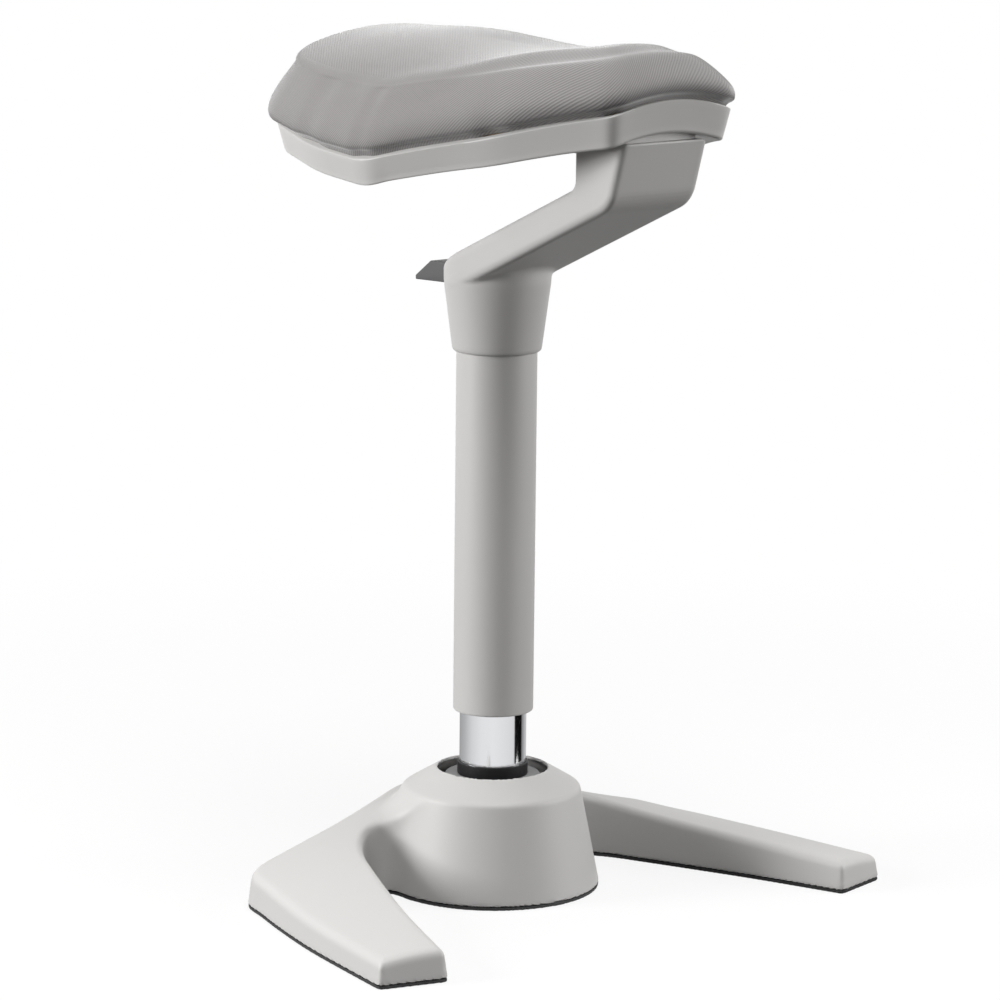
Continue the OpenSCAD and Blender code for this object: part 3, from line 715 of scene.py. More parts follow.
class PlanMap:
    """Values over the plan, known on a grid and read between its points."""

    def __init__(self, low: tuple, step: float, values: Array) -> None:
        """Keeps the grid.

        Args:
            low: The grid's first corner.
            step: The grid's step.
            values: The values, by x and y.
        """
        self.low, self.step, self.values = low, step, values

    def at(self, x: Array, y: Array) -> Array:
        """Reads the map by the area rule between four grid points.

        Args:
            x: First coordinates.
            y: Second coordinates.

        Returns:
            The values.
        """
        gx = np.clip((x - self.low[0]) / self.step, 0, self.values.shape[0] - 1.001)
        gy = np.clip((y - self.low[1]) / self.step, 0, self.values.shape[1] - 1.001)
        i, j = gx.astype(int), gy.astype(int)
        u, v = gx - i, gy - j
        near = self.values[i, j] * (1 - u) + self.values[i + 1, j] * u
        far = self.values[i, j + 1] * (1 - u) + self.values[i + 1, j + 1] * u
        return near * (1 - v) + far * v


# Base


@dataclass
class BaseShape:
    """Sizes and field of the cast cover: a dome with two legs that flow out of it."""

    foot_r: float = 0.081
    edge_r: float = 0.066
    edge_z: float = 0.0763
    hole_r: float = 0.0415
    top_z: float = 0.091
    wall: float = 0.005
    sole: float = 0.003
    draft: float = 0.003
    crown: float = 0.0015
    leg_round: float = 0.0065
    dome_round: float = 0.002
    sole_inset: float = 0.0003
    lip: float = 0.0028
    sharp: float = 0.0012
    blend: float = 0.006
    fillet: tuple = (0.014, 0.008)
    low: tuple = (-0.25, -0.196, -0.004)
    high: tuple = (0.25, 0.098, 0.096)
    mat_low: float = -0.003
    mat_high: float = 0.006
    stations: tuple = (
        (0.0, 83.4, 0.0, 0.0, 66.7, 65.4),
        (31.2, 81.0, 24.0, 0.0, 65.4, 64.1),
        (62.4, 72.6, 48.0, 0.0, 59.0, 64.1),
        (100.8, 70.5, 72.0, 16.2, 46.2, 59.0),
        (141.6, 69.8, 90.0, 25.1, 34.6, 53.2),
        (171.6, 67.0, 105.6, 16.2, 26.9, 48.7),
        (188.5, 52.2, 117.6, 0.0, 25.2, 44.2),
        (197.0, 24.0, 129.6, -27.9, 24.0, 39.7),
        (208.5, -14.9, 144.0, -63.2, 22.8, 35.3),
        (223.0, -74.4, 164.4, -115.3, 20.9, 30.1),
        (240.0, -172.2, 188.6, -186.0, 19.2, 24.0),
    )
    edge: PlanMap = field(init=False)
    height: PlanMap = field(init=False)

    def __post_init__(self) -> None:
        """Works out the legs' edge distance and top height over the plan, once.

        The edge is the signed distance to the outline through the feet. The height at a point
        is the mean of the heights along all cross-sections, weighted by a bell round the point.
        """
        self.lean = (self.foot_r - self.edge_r) / (self.edge_z - self.sole)
        self.fall = (self.top_z - self.edge_z) / (self.edge_r - self.hole_r)
        rows = catmull_rom(np.array(self.stations) * MM, 12)
        outer, inner = rows[:, :2], rows[:, 2:4]
        start = np.array([[-0.05, outer[0, 1]]])
        end = np.array([[-0.05, 0.0]])
        outline = soften(even_path(np.vstack([start, outer, inner[::-1], end]), 900), 2.2)[::3]
        low, step = (-0.01, -0.215), 0.001
        x = low[0] + step * np.arange(285)
        y = low[1] + step * np.arange(330)
        grid = polygon_distance(x[:, None], y[None, :], outline)
        self.edge = PlanMap(low, step, grid)
        share = np.linspace(0, 1, 9)[None, :]
        sx = outer[:, :1] + (inner - outer)[:, :1] * share
        sy = outer[:, 1:] + (inner - outer)[:, 1:] * share
        sz = rows[:, 4:5] + (rows[:, 5:] - rows[:, 4:5]) * share
        sz = sz + self.crown * (1 - (2 * share - 1) ** 2)
        cx, cy = x[::3], y[::3]
        gap = (cx[:, None, None] - sx.ravel()) ** 2 + (cy[None, :, None] - sy.ravel()) ** 2
        gap -= gap.min(-1, keepdims=True)
        weight = np.exp(-gap / (2 * self.blend**2))
        tops = (weight * sz.ravel()).sum(-1) / weight.sum(-1)
        self.height = PlanMap(low, 3 * step, tops)

    def leg(self, x: Array, y: Array, z: Array) -> Array:
        """Field of both legs: the greater of the wall, which leans in as it rises, and the top."""
        x, y = np.abs(x), y + 0 * x
        top = self.height.at(x, y)
        rise = np.clip((z - self.sole) / (top - self.sole), 0, 1.3)
        return smooth_max(self.edge.at(x, y) + self.draft * rise, z - top, self.leg_round)

    def dome(self, x: Array, y: Array, z: Array) -> Array:
        """Field of the dome: the greater of its leaning wall and its conical top."""
        r = np.hypot(x, y)
        side = (r - self.foot_r + (z - self.sole) * self.lean) / math.hypot(1, self.lean)
        top = (z - self.edge_z - (self.edge_r - r) * self.fall) / math.hypot(1, self.fall)
        return smooth_max(side, top, self.dome_round)

    def body(self, x: Array, y: Array, z: Array) -> Array:
        """Field of dome and legs, filled where they meet: wide on top, tight at the floor."""
        width = self.fillet[0] + self.fillet[1] * np.clip(z / 0.07, 0, 1) ** 2
        width = width * np.clip((0.075 - y) / 0.03, 0.4, 1)
        return smooth_min(self.dome(x, y, z), self.leg(x, y, z), width + 0 * x)

    def solid(self, x: Array, y: Array, z: Array) -> Array:
        """Field of the cover: the body over its sole, less the hole and the room inside.

        The wall thins to a lip round the hole, so that only dark room shows behind the edge.
        """
        r = np.hypot(x, y)
        shape = smooth_max(self.body(x, y, z), self.hole_r - r + 0 * z, self.sharp)
        shape = smooth_max(shape, self.sole - z, self.sharp)
        wall = self.lip + (self.wall - self.lip) * ramp(r - self.hole_r, 0.001, 0.013)
        room = np.maximum(
            r - self.foot_r + self.wall + (z - self.sole) * self.lean,
            z + wall - self.edge_z - (self.edge_r - r) * self.fall,
        )
        return np.maximum(shape, -room)

    def mat(self, x: Array, y: Array, z: Array) -> Array:
        """Field of the sole: the cover's outline at the floor, drawn in a little."""
        flat = self.body(x, y, np.full_like(z, self.sole)) + self.sole_inset
        return smooth_max(flat, np.abs(z - self.sole / 2) - self.sole / 2, self.sharp)

    def build(self) -> list:
        """Makes the cover and the sole.

        Returns:
            Both pieces.
        """
        step = 0.0017
        cover = put_mesh(
            "base_cover_cast", *net_surface(self.solid, self.low, self.high, step), 40
        )
        low, high = (*self.low[:2], self.mat_low), (*self.high[:2], self.mat_high)
        sole = put_mesh("rubber_sole", *net_surface(self.mat, low, high, 0.0015), 40)
        return [
            enlist(cover, PAINT, "base", "base_cover"),
            enlist(sole, BLACK_RUBBER, "base", "sole"),
        ]


# Column


@dataclass
class Column:
    """The turned pieces that show between the base and the arm."""

    cover_r: float = 0.030
    cover_wall: float = 0.0025
    cover_foot: float = 0.1346
    cover_top: float = 0.428
    stand_r: float = 0.025
    stand_wall: float = 0.0015
    stand_foot: float = 0.028
    stand_top: float = 0.380
    disc_r: float = 0.0355
    disc_z: float = 0.082
    disc_t: float = 0.0035
    collar_t: float = 0.0014
    collar_h: float = 0.0095
    play: float = 0.00005
    segments: int = 192

    def tube_profile(
        self, outer: float, wall: float, low: float, high: float, edge: float
    ) -> Array:
        """Section of a tube with rounded edges.

        Args:
            outer: Its outer radius.
            wall: Its wall.
            low: Its lower end.
            high: Its upper end.
            edge: The radius of its edges.

        Returns:
            The section's radius and height pairs, anticlockwise.
        """
        inner = outer - wall
        corners = np.array([[inner, low], [outer, low], [outer, high], [inner, high]])
        return rounded_path(corners, np.array([edge * 0.4, edge, edge, edge * 0.4]), 7)

    def build(self) -> list:
        """Turns the cover tube, the chromed stand tube, the disc and the collar.

        Returns:
            The pieces.
        """
        disc_top = self.disc_z + self.disc_t
        rows = (
            ("cover_tube_drawn", self.cover_r, self.cover_wall, self.cover_foot, self.cover_top,
             0.0014, PAINT, "lift", "cover_tube", "cover_grey"),
            ("stand_tube_chromed", self.stand_r, self.stand_wall, self.stand_foot, self.stand_top,
             0.0006, CHROME, "column", "stand_tube", "chrome"),
            ("top_disc_moulded", self.disc_r, self.disc_r - self.stand_r - self.play, self.disc_z,
             disc_top, 0.0008, DISC_GREY, "column", "top_disc", "disc_grey"),
            ("foot_collar_moulded", self.stand_r + self.collar_t + self.play, self.collar_t,
             disc_top, disc_top + self.collar_h, 0.0006, BLACK_PLASTIC, "column", "foot_collar",
             "plastic_black"),
        )
        return [
            enlist(lathe(name, self.tube_profile(*sizes), self.segments), finish, body, node)
            for name, *sizes, finish, body, node, slot in rows
        ]


# Arm and lever


@dataclass
class Arm:
    """The cast arm: a hub round the column, a sloping bar, and an upright head."""

    half_w: float = 0.040
    reach: float = 0.1855
    upright: float = 0.054
    top_at_axis: float = 0.483
    thick: float = 0.029
    slope: float = math.tan(math.radians(24))
    head_z: float = 0.5766
    hub_cone: tuple = ((0.406, 0.0331), (0.408, 0.0332), (0.458, 0.0396), (0.469, 0.040))
    hub_over: float = 0.012
    lip_round: float = 0.0035
    tube_r: float = 0.03005
    tube_top: float = 0.428
    taper_r: float = 0.0143
    taper_top: float = 0.452
    valve: tuple = (0.014, 0.4608, 0.009)
    side_round: float = 0.0062
    slot_half: float = 0.011
    slot_low: float = 0.4478
    lever_z: float = 0.4568
    slot_top: float = 0.4788
    slot_back: float = 0.0182
    pivot: tuple = (0.022, 0.4618)
    pivot_r: float = 0.0025
    pivot_end: float = 0.029
    low: tuple = (-0.044, -0.188, 0.402)
    high: tuple = (0.044, 0.045, 0.58)

    def profile(self) -> Array:
        """Side view of the bar, by distance in front of the axis and height."""
        back = self.reach - self.upright
        elbow = self.reach - 0.014
        line = self.top_at_axis

        def top(u: float) -> float:
            """Height of the sloping top."""
            return line + self.slope * u

        corners = np.array(
            [
                [-0.08, top(-0.08)],
                [-0.08, top(-0.08) - self.thick],
                [elbow, top(elbow) - self.thick],
                [self.reach, self.head_z],
                [back, self.head_z],
                [back, top(back)],
            ]
        )
        radii = np.array([0.0005, 0.0005, 0.026, 0.0006, 0.0006, 0.009])
        return rounded_path(corners, radii, 8)

    def __post_init__(self) -> None:
        """Works out the side view once."""
        self.side = self.profile()

    def hub_radius(self, z: Array) -> Array:
        """The hub's radius at a height: a cone from the lip to the shoulder, then upright."""
        return np.interp(z, *zip(*self.hub_cone))

    def solid(self, x: Array, y: Array, z: Array) -> Array:
        """Field of the arm, negative inside.

        The bar is the side view within a stadium-shaped plan, the hub a turned cone below it.
        The two are joined with a fillet in front, and less the socket, the slot and the bores.
        """
        u = -y
        r = np.hypot(x, y)
        radius = self.hub_radius(z)
        half = radius + (self.half_w - radius) * ramp(u, 0.0, 0.03)
        wall = np.hypot(x, np.minimum(u, 0)) - half
        view = polygon_distance(u + 0 * z, z + 0 * u, self.side)
        bar = smooth_max(wall, view + 0 * x, self.side_round)
        under = self.top_at_axis - self.thick + self.slope * u
        hub = np.maximum(r - radius, z - under - self.hub_over)
        fill = 0.0006 + 0.0035 * np.clip((u - 0.012) / 0.012, 0, 1)
        shape = smooth_min(bar, hub, fill + 0 * z)
        shape = smooth_max(shape, self.hub_cone[0][0] - z + 0 * r, self.lip_round)
        shape = np.maximum(shape, -np.maximum(r - self.tube_r, z - self.tube_top))
        shape = np.maximum(shape, -np.maximum(r - self.taper_r, z - self.taper_top))
        room = np.maximum(r - self.valve[0], np.abs(z - self.valve[1]) - self.valve[2])
        across = np.abs(x) - self.slot_half
        low = np.maximum(across, np.maximum(-y, self.slot_low - z))
        low = np.maximum(low, z - self.slot_top)
        high = np.maximum(across, np.maximum(self.slot_back - y, self.lever_z - z))
        room = np.minimum(np.minimum(room, low), high)
        pin = np.hypot(y - self.pivot[0], z - self.pivot[1]) - self.pivot_r
        room = np.minimum(room, np.maximum(pin, -x - self.pivot_end))
        return np.maximum(shape, -room)

    def build(self) -> list:
        """Makes the arm.

        Returns:
            The piece, in a list.
        """
        step = 0.0013
        arm = put_mesh("arm_cast", *net_surface(self.solid, self.low, self.high, step), 40)
        return [enlist(arm, PAINT, "lift", "arm")]


def pillow(path: Array, half: float, edge: float, steps: int = 5) -> tuple[Array, Array]:
    """Prism of a closed path with rounded rims.

    Args:
        path: The path's points, anticlockwise.
        half: Half the prism's length.
        edge: The radius of its rims.
        steps: Rings in each rim.

    Returns:
        Points as path coordinates and length, and quads. Each rim ring lies at half - edge +
        edge sin a along the length and edge (1 - cos a) inside the path.
    """
    ahead = np.roll(path, -1, 0) - np.roll(path, 1, 0)
    inward = np.stack([-ahead[:, 1], ahead[:, 0]], -1)
    inward /= np.linalg.norm(inward, axis=1, keepdims=True)
    angle = np.linspace(math.pi / 2, 0, steps)
    depth = np.concatenate([edge * (1 - np.cos(angle)), edge * (1 - np.cos(angle[::-1]))])
    place = np.concatenate(
        [-half + edge - edge * np.sin(angle), half - edge + edge * np.sin(angle[::-1])]
    )
    rings = path[None] + inward[None] * depth[:, None, None]
    middle = path.mean(0)
    rings = np.concatenate([np.broadcast_to(middle, (1, *path.shape)), rings])
    rings = np.concatenate([rings, np.broadcast_to(middle, (1, *path.shape))])
    place = np.concatenate([place[:1], place, place[-1:]])
    points = np.concatenate(
        [rings, np.broadcast_to(place[:, None, None], (*rings.shape[:2], 1))], -1
    )
    return points.reshape(-1, 3), ring_faces(len(rings), len(path))


@dataclass
class Lever:
    """The lever behind the hub that presses the gas valve's pin."""

    top: float = 0.4568
    pivot_y: float = 0.022
    reach: float = 0.0855
    half_w: float = 0.010
    height: float = 0.016
    tip_drop: float = 0.0065
    tip_t: float = 0.0032
    tip_slant: float = 0.018
    edge: float = 0.0008

    def build(self) -> list:
        """Makes the lever from its side view, by distance behind the axis and height.

        Returns:
            The piece, in a list.
        """
        low = self.top - self.tip_drop
        corners = np.array(
            [
                [-0.005, self.top],
                [0.004, self.top],
                [0.018, self.top - 0.002],
                [0.032, low + 0.002],
                [self.reach, low],
                [self.reach, low + self.tip_t],
                [self.reach - self.tip_slant, low + self.height],
                [0.030, low + self.height + 0.002],
                [self.pivot_y, self.top + 0.012],
                [-0.005, self.top + 0.005],
            ]
        )
        radii = np.array([0.5, 2, 4, 6, 0.8, 0.8, 3, 3, 3, 1]) * MM
        points, quads = pillow(rounded_path(corners, radii, 6), self.half_w, self.edge)
        points = points[:, [2, 0, 1]]
        lever = put_mesh("lever_cast", points, quads, 45)
        return [enlist(lever, LEVER_PAINT, "lever", "lever")]


# Seat


@dataclass
class SeatShape:
    """Outline and rim that the pan and the cushion share."""

    rim_top: float = 0.6072
    nose: float = 0.1938
    rear: float = 0.149
    half_w: float = 0.132
    nose_half: float = 0.055
    rim_drop: float = 0.0535
    shoulder: tuple = (0.745, 0.559)
    wing: tuple = (1.0, 0.02)
    rear_share: float = 0.8
    lift: float = 0.001
    flat: tuple = (0.955, 0.42)
    radii: tuple = (0.060, 0.300, 0.046, 0.046, 0.300, 0.060, 0.200, 0.013, 0.013, 0.200)
    blur: float = 6.0
    count: int = 480

    def __post_init__(self) -> None:
        """Works out the outline's points and how far each draws in between the corners."""
        wing, back = self.half_w * self.wing[0], self.half_w * self.rear_share
        bend = -self.nose * self.wing[1]
        full, along = self.half_w * self.flat[0], self.rear * self.flat[1]
        side, ahead = self.half_w * self.shoulder[0], -self.nose * self.shoulder[1]
        corners = np.array(
            [
                [wing, bend], [full, along], [back, self.rear],
                [-back, self.rear], [-full, along], [-wing, bend],
                [-side, ahead], [-self.nose_half, -self.nose], [self.nose_half, -self.nose],
                [side, ahead],
            ]
        )
        steps = 24
        path = rounded_path(corners, np.array(self.radii), steps)
        wave = np.tile(np.sin(math.pi * np.arange(steps) / steps) ** 2, len(corners))
        even = even_path(np.hstack([path, wave[:, None]]), self.count)
        even = soften(even, 1.2)
        start = int(np.argmax(even[:, 1] - np.abs(even[:, 0])))
        even = np.roll(even, -start, 0)
        self.outline, self.wave = even[:, :2], even[:, 2]
        self.rounder = soften(self.outline, self.blur)
        self.front = ramp(-self.outline[:, 1], 0.05, 0.14)
        self.fore = ramp(-self.outline[:, 1], 0.012, 0.045)
        smooth = soften(self.outline, 14.0)
        ahead = np.roll(smooth, -1, 0) - np.roll(smooth, 1, 0)
        self.out = np.stack([ahead[:, 1], -ahead[:, 0]], -1)
        self.out /= np.linalg.norm(self.out, axis=1, keepdims=True)
        self.middle = np.array([0.0, -self.nose * 0.1])

    def rim(self, x: Array) -> Array:
        """Height of the rim's arch at a share of the half width.

        The top, less the drop times the share squared, plus the lift times its eighth power.
        """
        share = x / self.half_w
        return self.rim_top - self.rim_drop * share**2 + self.lift * share**8

    def inset(
        self, depth: Array | float, round_share: float = 0.0, blur: float = 0.0
    ) -> Array:
        """Outline moved inwards, along the normals of a much smoother outline.

        Args:
            depth: How far it moves.
            round_share: How far the nose takes the outline with rounder corners.
            blur: Width by which the moved nose is softened, so that it doesn't fold.

        Returns:
            The points in plan.
        """
        share = (self.front * round_share)[:, None]
        path = self.outline + (self.rounder - self.outline) * share
        path = path - self.out * np.broadcast_to(np.atleast_1d(depth), self.count)[:, None]
        if blur:
            path = path + (soften(path, blur) - path) * self.front[:, None]
        return path

    def ring(self, depth: Array | float, share: float, rise: float) -> Array:
        """A ring of points.

        Args:
            depth: How far it lies inside the outline.
            share: Its size, as a share, about the seat's middle.
            rise: Its height over the rim's arch.

        Returns:
            The points.
        """
        plan = self.middle + (self.inset(depth) - self.middle) * share
        return np.column_stack([plan, self.rim(plan[:, 0]) + rise])


@dataclass
class SeatPan:
    """The moulded pan under the cushion, with the pad that stands on the arm."""

    seat: SeatShape
    depth: float = 0.0245
    wall: float = 0.0035
    draft: float = 0.006
    flank_draft: float = 0.002
    edge: float = 0.0032
    pad: tuple = (0.035, 0.0215)
    pad_y: float = -0.15725
    head_z: float = 0.5766

    def build(self) -> list:
        """Makes the pan from rings: underside, rounded edge, wall, rim, inner wall and floor.

        The wall leans in by the draft, and further on the flanks in front of the wings.

        Returns:
            The piece, in a list.
        """
        seat = self.seat
        ahead = -seat.outline[:, 1]
        flank = ramp(ahead, 0.004, 0.024) * (1 - ramp(ahead, 0.06, 0.15))
        draft = self.draft + self.flank_draft * flank
        turn = np.linspace(0, math.pi / 2, 7)
        rows = [(draft + self.edge, share, -self.depth) for share in (0.001, 0.3, 0.6, 0.85)]
        for a in turn:
            out = draft * 0.88 + self.edge * (1 - math.sin(a))
            rows.append((out, 1.0, -self.depth + self.edge * (1 - math.cos(a))))
        rows += [(draft * share, 1.0, -self.depth * share) for share in (0.7, 0.45, 0.2, 0.04)]
        rows += [(0.0002, 1.0, -0.0006), (0.0007, 1.0, -0.0001), (0.0014, 1.0, 0.0)]
        rows += [(self.wall, 1.0, 0.0), (self.wall + 0.0004, 1.0, -0.0006)]
        rows += [(self.wall + draft * 0.8, 1.0, -self.depth + self.wall)]
        for share in (0.85, 0.6, 0.3, 0.001):
            rows.append((self.wall + draft * 0.8, share, -self.depth + self.wall))
        points = np.stack([seat.ring(*row) for row in rows]).reshape(-1, 3)
        quads = ring_faces(len(rows), seat.count)
        box = np.array([[-1, -1], [1, -1], [1, 1], [-1, 1]]) * self.pad + [0, self.pad_y]
        path = rounded_path(box, np.full(4, 0.004), 8)
        heights = [self.head_z, self.head_z, 0.590, 0.590]
        sizes = [0.001, 1.0, 1.0, 0.001]
        centre = np.array([0, self.pad_y])
        pad = np.stack(
            [np.column_stack([centre + (path - centre) * s, np.full(len(path), h)])
             for s, h in zip(sizes, heights)]
        ).reshape(-1, 3)
        faces = np.vstack([quads, ring_faces(4, len(path)) + len(points)])
        pan = put_mesh("seat_pan_moulded", np.vstack([points, pad]), faces, 50)
        return [enlist(pan, PAN_PLASTIC, "lift", "seat_pan")]


CLOTH = {
    "quality": 6,
    "mass": 0.3,
    "tension_stiffness": 20,
    "compression_stiffness": 20,
    "shear_stiffness": 8,
    "bending_stiffness": 0.6,
    "use_pressure": True,
    "uniform_pressure_force": 0.5,
}


@dataclass
class Cushion:
    """The upholstered saddle."""

    seat: SeatShape
    rise: float = 0.0345
    drop: float = 0.050
    dish: float = 0.0125
    rear_flat: float = 0.012
    rear_fall: float = 0.004
    bevel: float = 0.022
    bulge: float = 0.0035
    rear_bulge: float = 0.006
    draw: float = 0.0015
    edge: float = 0.008
    tuck: float = 0.002
    fore_tuck: float = 0.0013
    nose_bulge: float = 0.002
    nose_blur: float = 13.0
    slack: float = 0.022
    gain: float = 0.35
    gap: float = 0.0001
    cap: float = 0.006
    voxel: float = 0.005
    frames: int = 20
    nearest: int = 12
    under: tuple = (0.001, 0.3, 0.6, 0.85)
    crown: tuple = (1.0, 0.84, 0.64, 0.42, 0.2, 0.001)
    between: int = 6
    top_key: int = 8

    def top(self, plan: Array, share: float) -> Array:
        """Height of the top: a saddle, less a bell-shaped dish that fades out towards the edge.

        The rear is flatter across and falls a little.
        """
        t = (plan[:, 1] + self.seat.nose * 0.43) / (self.seat.nose * 0.42)
        dish = self.dish * np.exp(-t * t) * (1 - share * share)
        rear = ramp(plan[:, 1], 0.02, 0.125)
        high = self.seat.rim_top + self.rise - self.rear_fall * rear
        drop = self.drop - self.rear_flat * rear
        return high - drop * (plan[:, 0] / self.seat.half_w) ** 2 - dish

    def edge_depth(self) -> Array:
        """How far inside the outline the top's edge lies: more at the nose, less at the rear."""
        rear = ramp(self.seat.outline[:, 1], 0.02, 0.11)
        return self.bevel * (1 + 0.35 * self.seat.front - 0.35 * rear)

    def side(self, share: float, out: float, far: float) -> Array:
        """A ring on the side.

        Args:
            share: Share of the height from the rim to the top's edge.
            out: How far it stands out of the outline.
            far: Share of the rear bulge that it takes.

        Returns:
            The ring's points.
        """
        seat = self.seat
        behind = np.clip(seat.outline[:, 1] / seat.rear, 0, None) ** 2 * self.rear_bulge * far
        depth = -out - behind + self.draw * seat.wave
        plan = seat.inset(depth, min(1.0, 0.2 + 1.6 * share), self.nose_blur * share**2)
        low = seat.rim(plan[:, 0]) + self.gap
        high = self.top(seat.inset(self.edge_depth(), 1.0, self.nose_blur), 1.0)
        return np.column_stack([plan, low + (high - low) * share])

    def upper(self, depth: float, share: float, low: float, blur: float) -> Array:
        """A ring on the top, at a depth inside the outline and a share of its size.

        The smaller the ring, the more it is softened all round.
        """
        seat = self.seat
        plan = seat.inset(depth, 1.0, blur)
        if share < 1:
            plan = soften(plan, blur)
        plan = seat.middle + (plan - seat.middle) * share
        return np.column_stack([plan, self.top(plan, share) - low])

    def rings(self) -> Array:
        """All rings from the underside's middle over the side to the top's middle."""
        seat, bulge, edge = self.seat, self.bulge, self.edge
        bevel, front = self.edge_depth(), self.seat.front
        nose = self.nose_bulge * front
        fore = self.fore_tuck * seat.fore
        tuck = self.tuck + fore
        under = [seat.ring(0.0, share, self.gap) for share in self.under]

        def lean(flank: float, nose: float) -> Array:
            """Share of the bevel at a ring, on the flank and at the rounder nose."""
            return -bevel * (flank + (nose - flank) * front)

        sides = [
            self.side(0.0, -tuck, 0.0),
            self.side(0.035, -tuck * 0.7, 0.2),
            self.side(0.09, nose * 0.5 - fore, 0.6),
            self.side(0.20, bulge * 0.85 + nose, 1.0),
            self.side(0.40, bulge * (0.2 + 0.5 * seat.fore) + lean(0.1, 0.0) + nose, 0.8),
            self.side(0.66, lean(0.5, 0.25) + nose * 0.6, 0.35),
            self.side(0.88, lean(0.84, 0.62), 0.0),
        ]
        wide = edge * (1 + 1.4 * front)
        tops = [self.upper(bevel, 1.0, edge * (0.1 + 0.2 * front), self.nose_blur)]
        tops += [
            self.upper(bevel + wide, share, -edge * 0.06, self.nose_blur * (1 + 2 * (1 - share)))
            for share in self.crown
        ]
        return np.concatenate([np.stack(under), catmull_rom(np.stack(sides + tops), self.between)])

    def cloth_map(self, rings: Array) -> tuple[Array, Array]:
        """Lays the cloth's own coordinates on the rings.

        Args:
            rings: The cushion's rings.

        Returns:
            Distance round the outline and up the side for each point, and the plan's coordinates
            turned a little, which the top takes.
        """
        loop = np.vstack([self.seat.outline, self.seat.outline[:1]])
        around = np.concatenate([[0], np.cumsum(np.linalg.norm(np.diff(loop, axis=0), axis=1))])
        climb = np.cumsum(
            np.concatenate(
                [np.zeros((1, rings.shape[1])), np.linalg.norm(np.diff(rings, axis=0), axis=2)]
            ),
            axis=0,
        )
        side = np.stack([np.broadcast_to(around[:-1], climb.shape), climb], -1)
        turn = math.radians(5.7)
        x, y = rings[..., 0], rings[..., 1]
        flat = np.stack(
            [x * math.cos(turn) + y * math.sin(turn), y * math.cos(turn) - x * math.sin(turn)], -1
        )
        return side, flat

    def swell(self, points: Array, quads: Array) -> Array:
        """Simulates the cover as cloth under pressure and takes the way each point moves.

        Args:
            points: The cushion's points.
            quads: Its faces.

        Returns:
            The move of each point: the weighted mean of the moves of the nearest simulated
            points, none farther than the cap.
        """
        source = put_mesh("swell_source", points, quads, 180)
        remesh = source.modifiers.new("voxels", "REMESH")
        remesh.mode = "VOXEL"
        remesh.voxel_size = self.voxel
        graph = bpy.context.evaluated_depsgraph_get()
        mesh = bpy.data.meshes.new_from_object(source.evaluated_get(graph))
        bpy.data.objects.remove(source)
        pad = bpy.data.objects.new("swell_pad", mesh)
        bpy.context.scene.collection.objects.link(pad)
        start = np.empty(len(mesh.vertices) * 3, dtype=np.float32)
        mesh.vertices.foreach_get("co", start)
        start = start.reshape(-1, 3).astype(float)
        cloth = pad.modifiers.new("cloth", "CLOTH")
        for name, value in CLOTH.items():
            setattr(cloth.settings, name, value)
        cloth.settings.effector_weights.gravity = 0
        cloth.point_cache.frame_start = 1
        cloth.point_cache.frame_end = self.frames
        for step in range(1, self.frames + 1):
            bpy.context.scene.frame_set(step)
        graph = bpy.context.evaluated_depsgraph_get()
        blown = pad.evaluated_get(graph).to_mesh()
        end = np.empty(len(blown.vertices) * 3, dtype=np.float32)
        blown.vertices.foreach_get("co", end)
        move = end.reshape(-1, 3).astype(float) - start
        bpy.data.objects.remove(pad)
        bpy.context.scene.frame_set(1)
        length = np.linalg.norm(move, axis=1, keepdims=True)
        log.info("cloth moved up to %.1f mm, mean %.1f mm", length.max() / MM, length.mean() / MM)
        move *= np.minimum(1, self.cap / np.maximum(length, 1e-9))
        tree = KDTree(len(start))
        for index, place in enumerate(start):
            tree.insert(place, index)
        tree.balance()
        near = [tree.find_n(place, self.nearest) for place in points]
        index = np.array([[hit[1] for hit in hits] for hits in near])
        gap = np.array([[hit[2] for hit in hits] for hits in near])
        weight = np.exp(-((gap / (self.voxel * 1.2)) ** 2)) + 1e-9
        return (move[index] * weight[..., None]).sum(1) / weight.sum(1, keepdims=True)

    def build(self) -> list:
        """Makes the cushion, swells its cover and maps the cloth.

        Returns:
            The piece, in a list.
        """
        rings = self.rings()
        side, flat = self.cloth_map(rings)
        top_row = len(self.under) + self.between * self.top_key
        cloth = np.concatenate([side[:top_row], flat[top_row:]])
        points, count = rings.reshape(-1, 3), self.seat.count
        quads = ring_faces(len(rings), count)
        centre = points.mean(0)
        inner = points + (centre - points) * self.slack
        free = np.repeat(ramp(np.arange(len(rings)), 10.0, 28.0), count)[:, None]
        swollen = inner + self.swell(inner, quads) * self.gain
        outward = points - centre
        outward /= np.linalg.norm(outward, axis=1, keepdims=True)
        net = ((swollen - points) * outward).sum(1).reshape(-1, count)
        swollen -= outward * np.repeat(net.mean(1), count)[:, None]
        log.info("swell against its ring's mean, mm: %.2f", net.std(1).max() / MM)
        points = points + (swollen - points) * free
        floor = self.seat.rim(points[:, 0]) + self.gap
        points[:, 2] = np.maximum(points[:, 2], floor)
        pad = put_mesh("cushion_upholstered", points, quads, 180)
        uv = cloth.reshape(-1, 2)[quads]
        length = side[0, -1, 0] + side[0, 1, 0]
        low_rows = quads.max(1) < top_row * count
        wrap = (np.ptp(uv[..., 0], axis=1) > length / 2) & low_rows
        uv[..., 0] += np.where(wrap[:, None] & (uv[..., 0] < length / 2), length, 0.0)
        cross = (quads.min(1) < top_row * count) & ~low_rows
        uv[cross] = flat.reshape(-1, 2)[quads[cross]]
        layer = pad.data.uv_layers.new(name="cloth")
        layer.data.foreach_set("uv", uv.astype(np.float32).ravel())
        enlist(pad, RibbedCloth(), "lift", "cushion")
        return [pad]


# Hidden pieces


